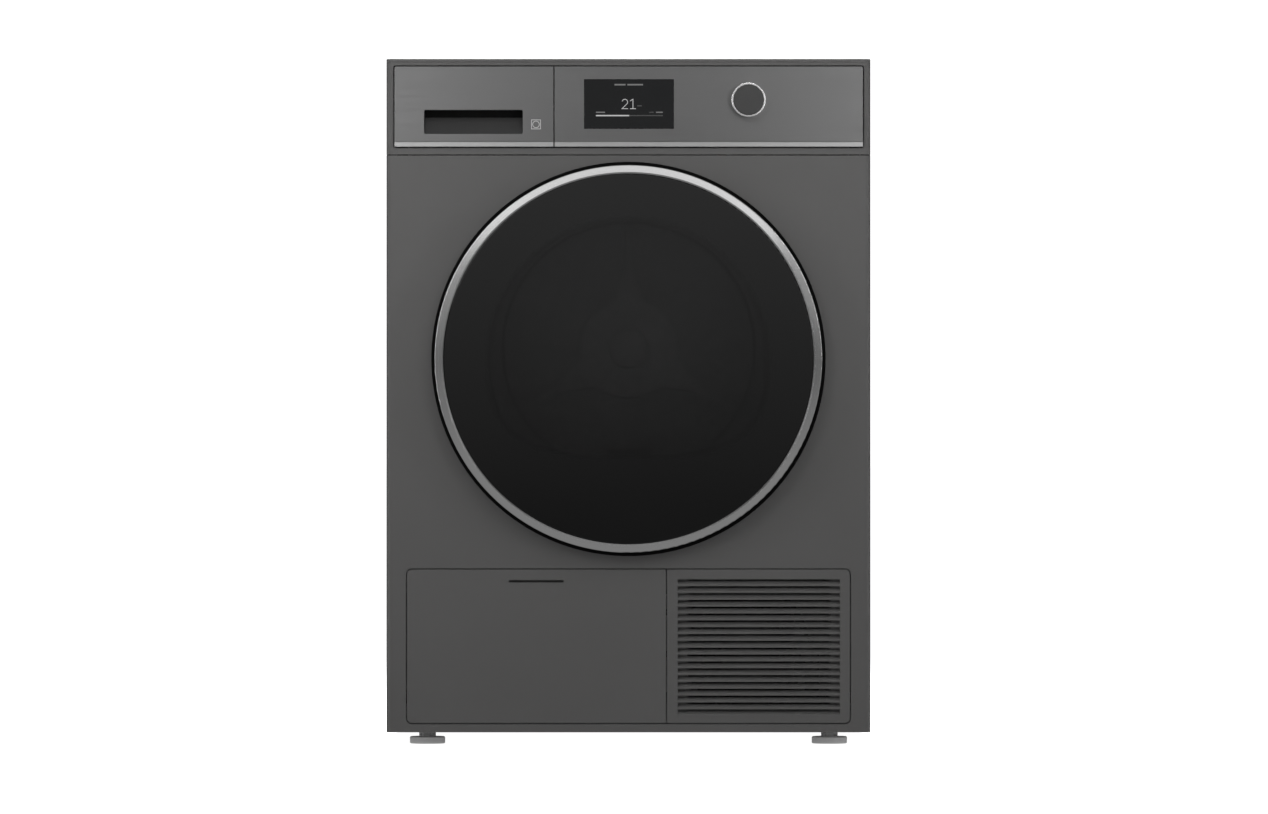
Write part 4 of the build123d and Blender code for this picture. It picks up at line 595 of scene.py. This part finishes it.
# Care symbol for tumble drying, a circle in a square, in millimetres from the drawer front's corner.
SYMBOL_X, SYMBOL_Z, SYMBOL_HALF, SYMBOL_MARGIN = 175.5, 27.9, 5.6, 1.5
SYMBOL_LINE = 0.8
SYMBOL_SQUARE = [
    (SYMBOL_X + across * SYMBOL_HALF, SYMBOL_Z + up * SYMBOL_HALF)
    for across, up in ((-1, -1), (1, -1), (1, 1), (-1, 1))
]
SYMBOL_CIRCLE = circle(SYMBOL_X, SYMBOL_Z, SYMBOL_HALF - SYMBOL_MARGIN, 24)
for piece_name, points in (("care_symbol_square", SYMBOL_SQUARE), ("care_symbol_circle", SYMBOL_CIRCLE)):
    corner = low_corner("tank_front")
    piece = stroke(piece_name, points, SYMBOL_LINE, corner, MATERIALS["pale_ink"], closed=True)
    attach(piece, "tank_drawer")


# --- Painted shade: the handle cup's back wall and the door gap ---------------------------------
# A near-black sheet on the handle cup's back wall, over its ledge: painted shade of the deep slot there.
# It stops short of the cup on each side.
CUP_WALL = 2.0 * MM
SHADE_SHEET_CLEARANCE = 0.05 * MM
SHADE_SHEET_THICKNESS = 0.4 * MM
SHADE_SHEET_SHORT_LEFT, SHADE_SHEET_SHORT_RIGHT, SHADE_SHEET_SHORT_BELOW, SHADE_SHEET_SHORT_ABOVE = 2.6 * MM, 2.7 * MM, 22.6 * MM, 2.4 * MM
cup_low, cup_high = low_corner("tank_handle_cup"), high_corner("tank_handle_cup")
shade_sheet_left, shade_sheet_right = cup_low[0] + SHADE_SHEET_SHORT_LEFT, cup_high[0] - SHADE_SHEET_SHORT_RIGHT
shade_sheet_bottom, shade_sheet_top = cup_low[2] + SHADE_SHEET_SHORT_BELOW, cup_high[2] - SHADE_SHEET_SHORT_ABOVE
shade_sheet_back = cup_high[1] - CUP_WALL - SHADE_SHEET_CLEARANCE
shade_sheet_corners = [
    (x, y, z)
    for y in (shade_sheet_back - SHADE_SHEET_THICKNESS, shade_sheet_back)
    for x, z in ((shade_sheet_left, shade_sheet_bottom), (shade_sheet_right, shade_sheet_bottom), (shade_sheet_right, shade_sheet_top), (shade_sheet_left, shade_sheet_top))
]
SHADE_SHEET_FACES = [(0, 1, 2, 3), (7, 6, 5, 4), (0, 4, 5, 1), (1, 5, 6, 2), (2, 6, 7, 3), (3, 7, 4, 0)]
shade_sheet = mesh_piece("handle_cup_shade_sheet", shade_sheet_corners, SHADE_SHEET_FACES, MATERIALS["cup_painted_shade"])
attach(shade_sheet, "tank_drawer")

# A thin black ring on the front panel round the gap at the door: painted shade where the gap and the door's
# shadow fall. Radius and width are in millimetres.
GAP_SHADE_R, GAP_SHADE_WIDTH, GAP_SHADE_POINTS = 242.8, 3.0, 180
gap_shade_origin = (DOOR_CENTRE[0], PANEL_Y, DOOR_CENTRE[2])
gap_shade_points = circle(0, 0, GAP_SHADE_R, GAP_SHADE_POINTS)
gap_shade_ring = stroke("door_gap_painted_shade", gap_shade_points, GAP_SHADE_WIDTH, gap_shade_origin, MATERIALS["matt_black"], closed=True)
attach(gap_shade_ring, "cabinet")


# --- Stage, lights and camera -------------------------------------------------------------------
def floor_material():
    tree = Tree("studio_floor")
    clouds = tree.remap(tree.noise(0.8, 3.0), 0.0, 1.0)
    tree.link(tree.mix(clouds, grey(0.84), grey(0.88)), tree.shader.inputs["Base Color"])
    tree.set({"Roughness": 0.9, "Emission Color": grey(1.0), "Emission Strength": 1.0})
    return tree.material


def light_card(name, low, high, bottom_z, top_z):
    """Emission that grows from low to high between two heights."""
    tree = Tree(name)
    level = tree.remap(tree.axis("Z"), low, high, bottom_z, top_z)
    tree.link(level, tree.shader.inputs["Emission Strength"])
    tree.set({"Base Color": grey(0.0), "Emission Color": grey(1.0), "Roughness": 1.0})
    return tree.material


def seen_only(obj):
    """The backdrop shows behind the object, and neither lights it nor shades it."""
    obj.visible_diffuse = False
    obj.visible_glossy = False
    obj.visible_transmission = False
    obj.visible_shadow = False


# A round floor with an upright wall about it.
BACKDROP_R = 60.0
BACKDROP_SIDES = 48
BACKDROP_FOOT, BACKDROP_TOP = -0.1, 90.0
BACKDROP_LEVEL = 1.3
rim = []
wall_faces = []
for side in range(BACKDROP_SIDES):
    angle = 2 * math.pi * side / BACKDROP_SIDES
    rim.append((BACKDROP_R * math.cos(angle), BACKDROP_R * math.sin(angle)))
    after = (side + 1) % BACKDROP_SIDES
    wall_faces.append((side, after, BACKDROP_SIDES + after, BACKDROP_SIDES + side))
floor_corners = [(x, y, 0.0) for x, y in rim]
floor = mesh_piece("studio_floor", floor_corners, [tuple(range(BACKDROP_SIDES))], floor_material())
wall_corners = [(x, y, z) for z in (BACKDROP_FOOT, BACKDROP_TOP) for x, y in rim]
wall_glow = light_card("backdrop_glow", BACKDROP_LEVEL, BACKDROP_LEVEL, 0.0, BACKDROP_TOP)
backdrop = mesh_piece("studio_backdrop", wall_corners, wall_faces, wall_glow)
seen_only(floor)
seen_only(backdrop)

# A level camera with a long lens. The view is FRAME_WIDTH metres wide at the front panel.
LENS, SENSOR = 300.0, 36.0
FRAME_WIDTH = 1.5713
CAMERA_X, CAMERA_Z = 0.0069, 0.4185
CAMERA_DISTANCE = FRAME_WIDTH * LENS / SENSOR
camera_data = bpy.data.cameras.new("camera")
camera_data.lens = LENS
camera_data.sensor_width = SENSOR
camera_data.clip_end = 300.0
camera = bpy.data.objects.new("camera", camera_data)
camera.location = (CAMERA_X, PANEL_Y - CAMERA_DISTANCE, CAMERA_Z)
camera.rotation_euler = (math.radians(90), 0, 0)
bpy.context.collection.objects.link(camera)
bpy.context.scene.camera = camera

# A graded card behind the camera, which the flat glass reflects.
CARD_BEHIND = 0.5
CARD_HALF_WIDTH = 1.1
CARD_BOTTOM, CARD_TOP = -0.6, 1.7
card_y = camera.location[1] - CARD_BEHIND
card_corners = [
    (side * CARD_HALF_WIDTH, card_y, z)
    for side, z in ((-1, CARD_BOTTOM), (1, CARD_BOTTOM), (1, CARD_TOP), (-1, CARD_TOP))
]
card_glow = light_card("card_glow", low=0.16, high=0.56, bottom_z=0.13, top_z=1.0)
card = mesh_piece("reflection_card", card_corners, [(0, 1, 2, 3)], card_glow)
card.visible_camera = False
card.visible_shadow = False


def area_light(name, place, target, width, height, power):
    data = bpy.data.lights.new(name, "AREA")
    data.shape = "RECTANGLE"
    data.size = width
    data.size_y = height
    data.energy = power
    obj = bpy.data.objects.new(name, data)
    obj.location = place
    obj.rotation_euler = (Vector(target) - Vector(place)).to_track_quat("-Z", "Y").to_euler()
    bpy.context.collection.objects.link(obj)


# The upright softbox over the camera's line grades the front and lights the top of the door ring. The
# two small ones beside the line brighten both ends of the control panel, and the strips light the sides.
SOFTBOX_Y = -1.35
# name: (place, target, width, height, watts)
STUDIO_LIGHTS = {
    "front_softbox": ((0, SOFTBOX_Y, 1.62), (0, 0, 1.62), 1.6, 1.15, 5.0),
    "left_softbox": ((-0.44, SOFTBOX_Y, 0.82), (-0.44, 0, 0.82), 0.28, 0.4, 1.25),
    "right_softbox": ((0.44, SOFTBOX_Y, 0.82), (0.44, 0, 0.82), 0.28, 0.4, 1.1),
    "left_strip": ((-2.15, -1.4, 0.8), (-0.2, -0.3, 0.5), 0.3, 1.8, 9.0),
    "right_strip": ((2.15, -1.4, 0.8), (0.2, -0.3, 0.5), 0.3, 1.8, 7.5),
    "top_fill": ((0, 1.2, 2.6), (0, 0, 0.8), 2.0, 1.4, 95.0),
    "rear_fill": ((0, 3.2, 2.0), (0, 0, 0.5), 2.6, 1.8, 30.0),
}
for light_name, settings in STUDIO_LIGHTS.items():
    area_light(light_name, *settings)

# The lamp inside the drum, which just shows its rear wall through the dark glass.
LAMP_INSET = 0.03
drum_low, drum_high = low_corner("drum_shell"), high_corner("drum_shell")
lamp_place = (DRUM_CENTRE[0], drum_low[1] + LAMP_INSET, DRUM_CENTRE[2] + LAMP_INSET)
lamp_target = (DRUM_CENTRE[0], drum_high[1], DRUM_CENTRE[2])
area_light("drum_lamp", lamp_place, lamp_target, 0.26, 0.22, 0.08)

# Ambient light: (upward part of the direction, from -1 to 1, and radiance)
AMBIENT = ((-1.0, 0.32), (-0.3, 0.345), (0.0, 0.143), (0.3, 0.42), (0.7, 0.15), (1.0, 0.4))
world = bpy.data.worlds.new("studio")
world.use_nodes = True
world_nodes = world.node_tree.nodes
world_links = world.node_tree.links
direction = world_nodes.new("ShaderNodeTexCoord").outputs["Generated"]
upward = world_nodes.new("ShaderNodeSeparateXYZ")
world_links.new(direction, upward.inputs["Vector"])
height = world_nodes.new("ShaderNodeMapRange")
height.inputs["From Min"].default_value = -1.0
world_links.new(upward.outputs["Z"], height.inputs["Value"])
sky = world_nodes.new("ShaderNodeValToRGB")
for stop, (up, level) in enumerate(AMBIENT):
    place = (up + 1.0) / 2.0
    point = sky.color_ramp.elements[stop] if stop < 2 else sky.color_ramp.elements.new(place)
    point.position = place
    point.color = grey(level)
world_links.new(height.outputs["Result"], sky.inputs["Fac"])
world_links.new(sky.outputs["Color"], world_nodes["Background"].inputs["Color"])
bpy.context.scene.world = world
bpy.context.scene.view_settings.view_transform = "Standard"
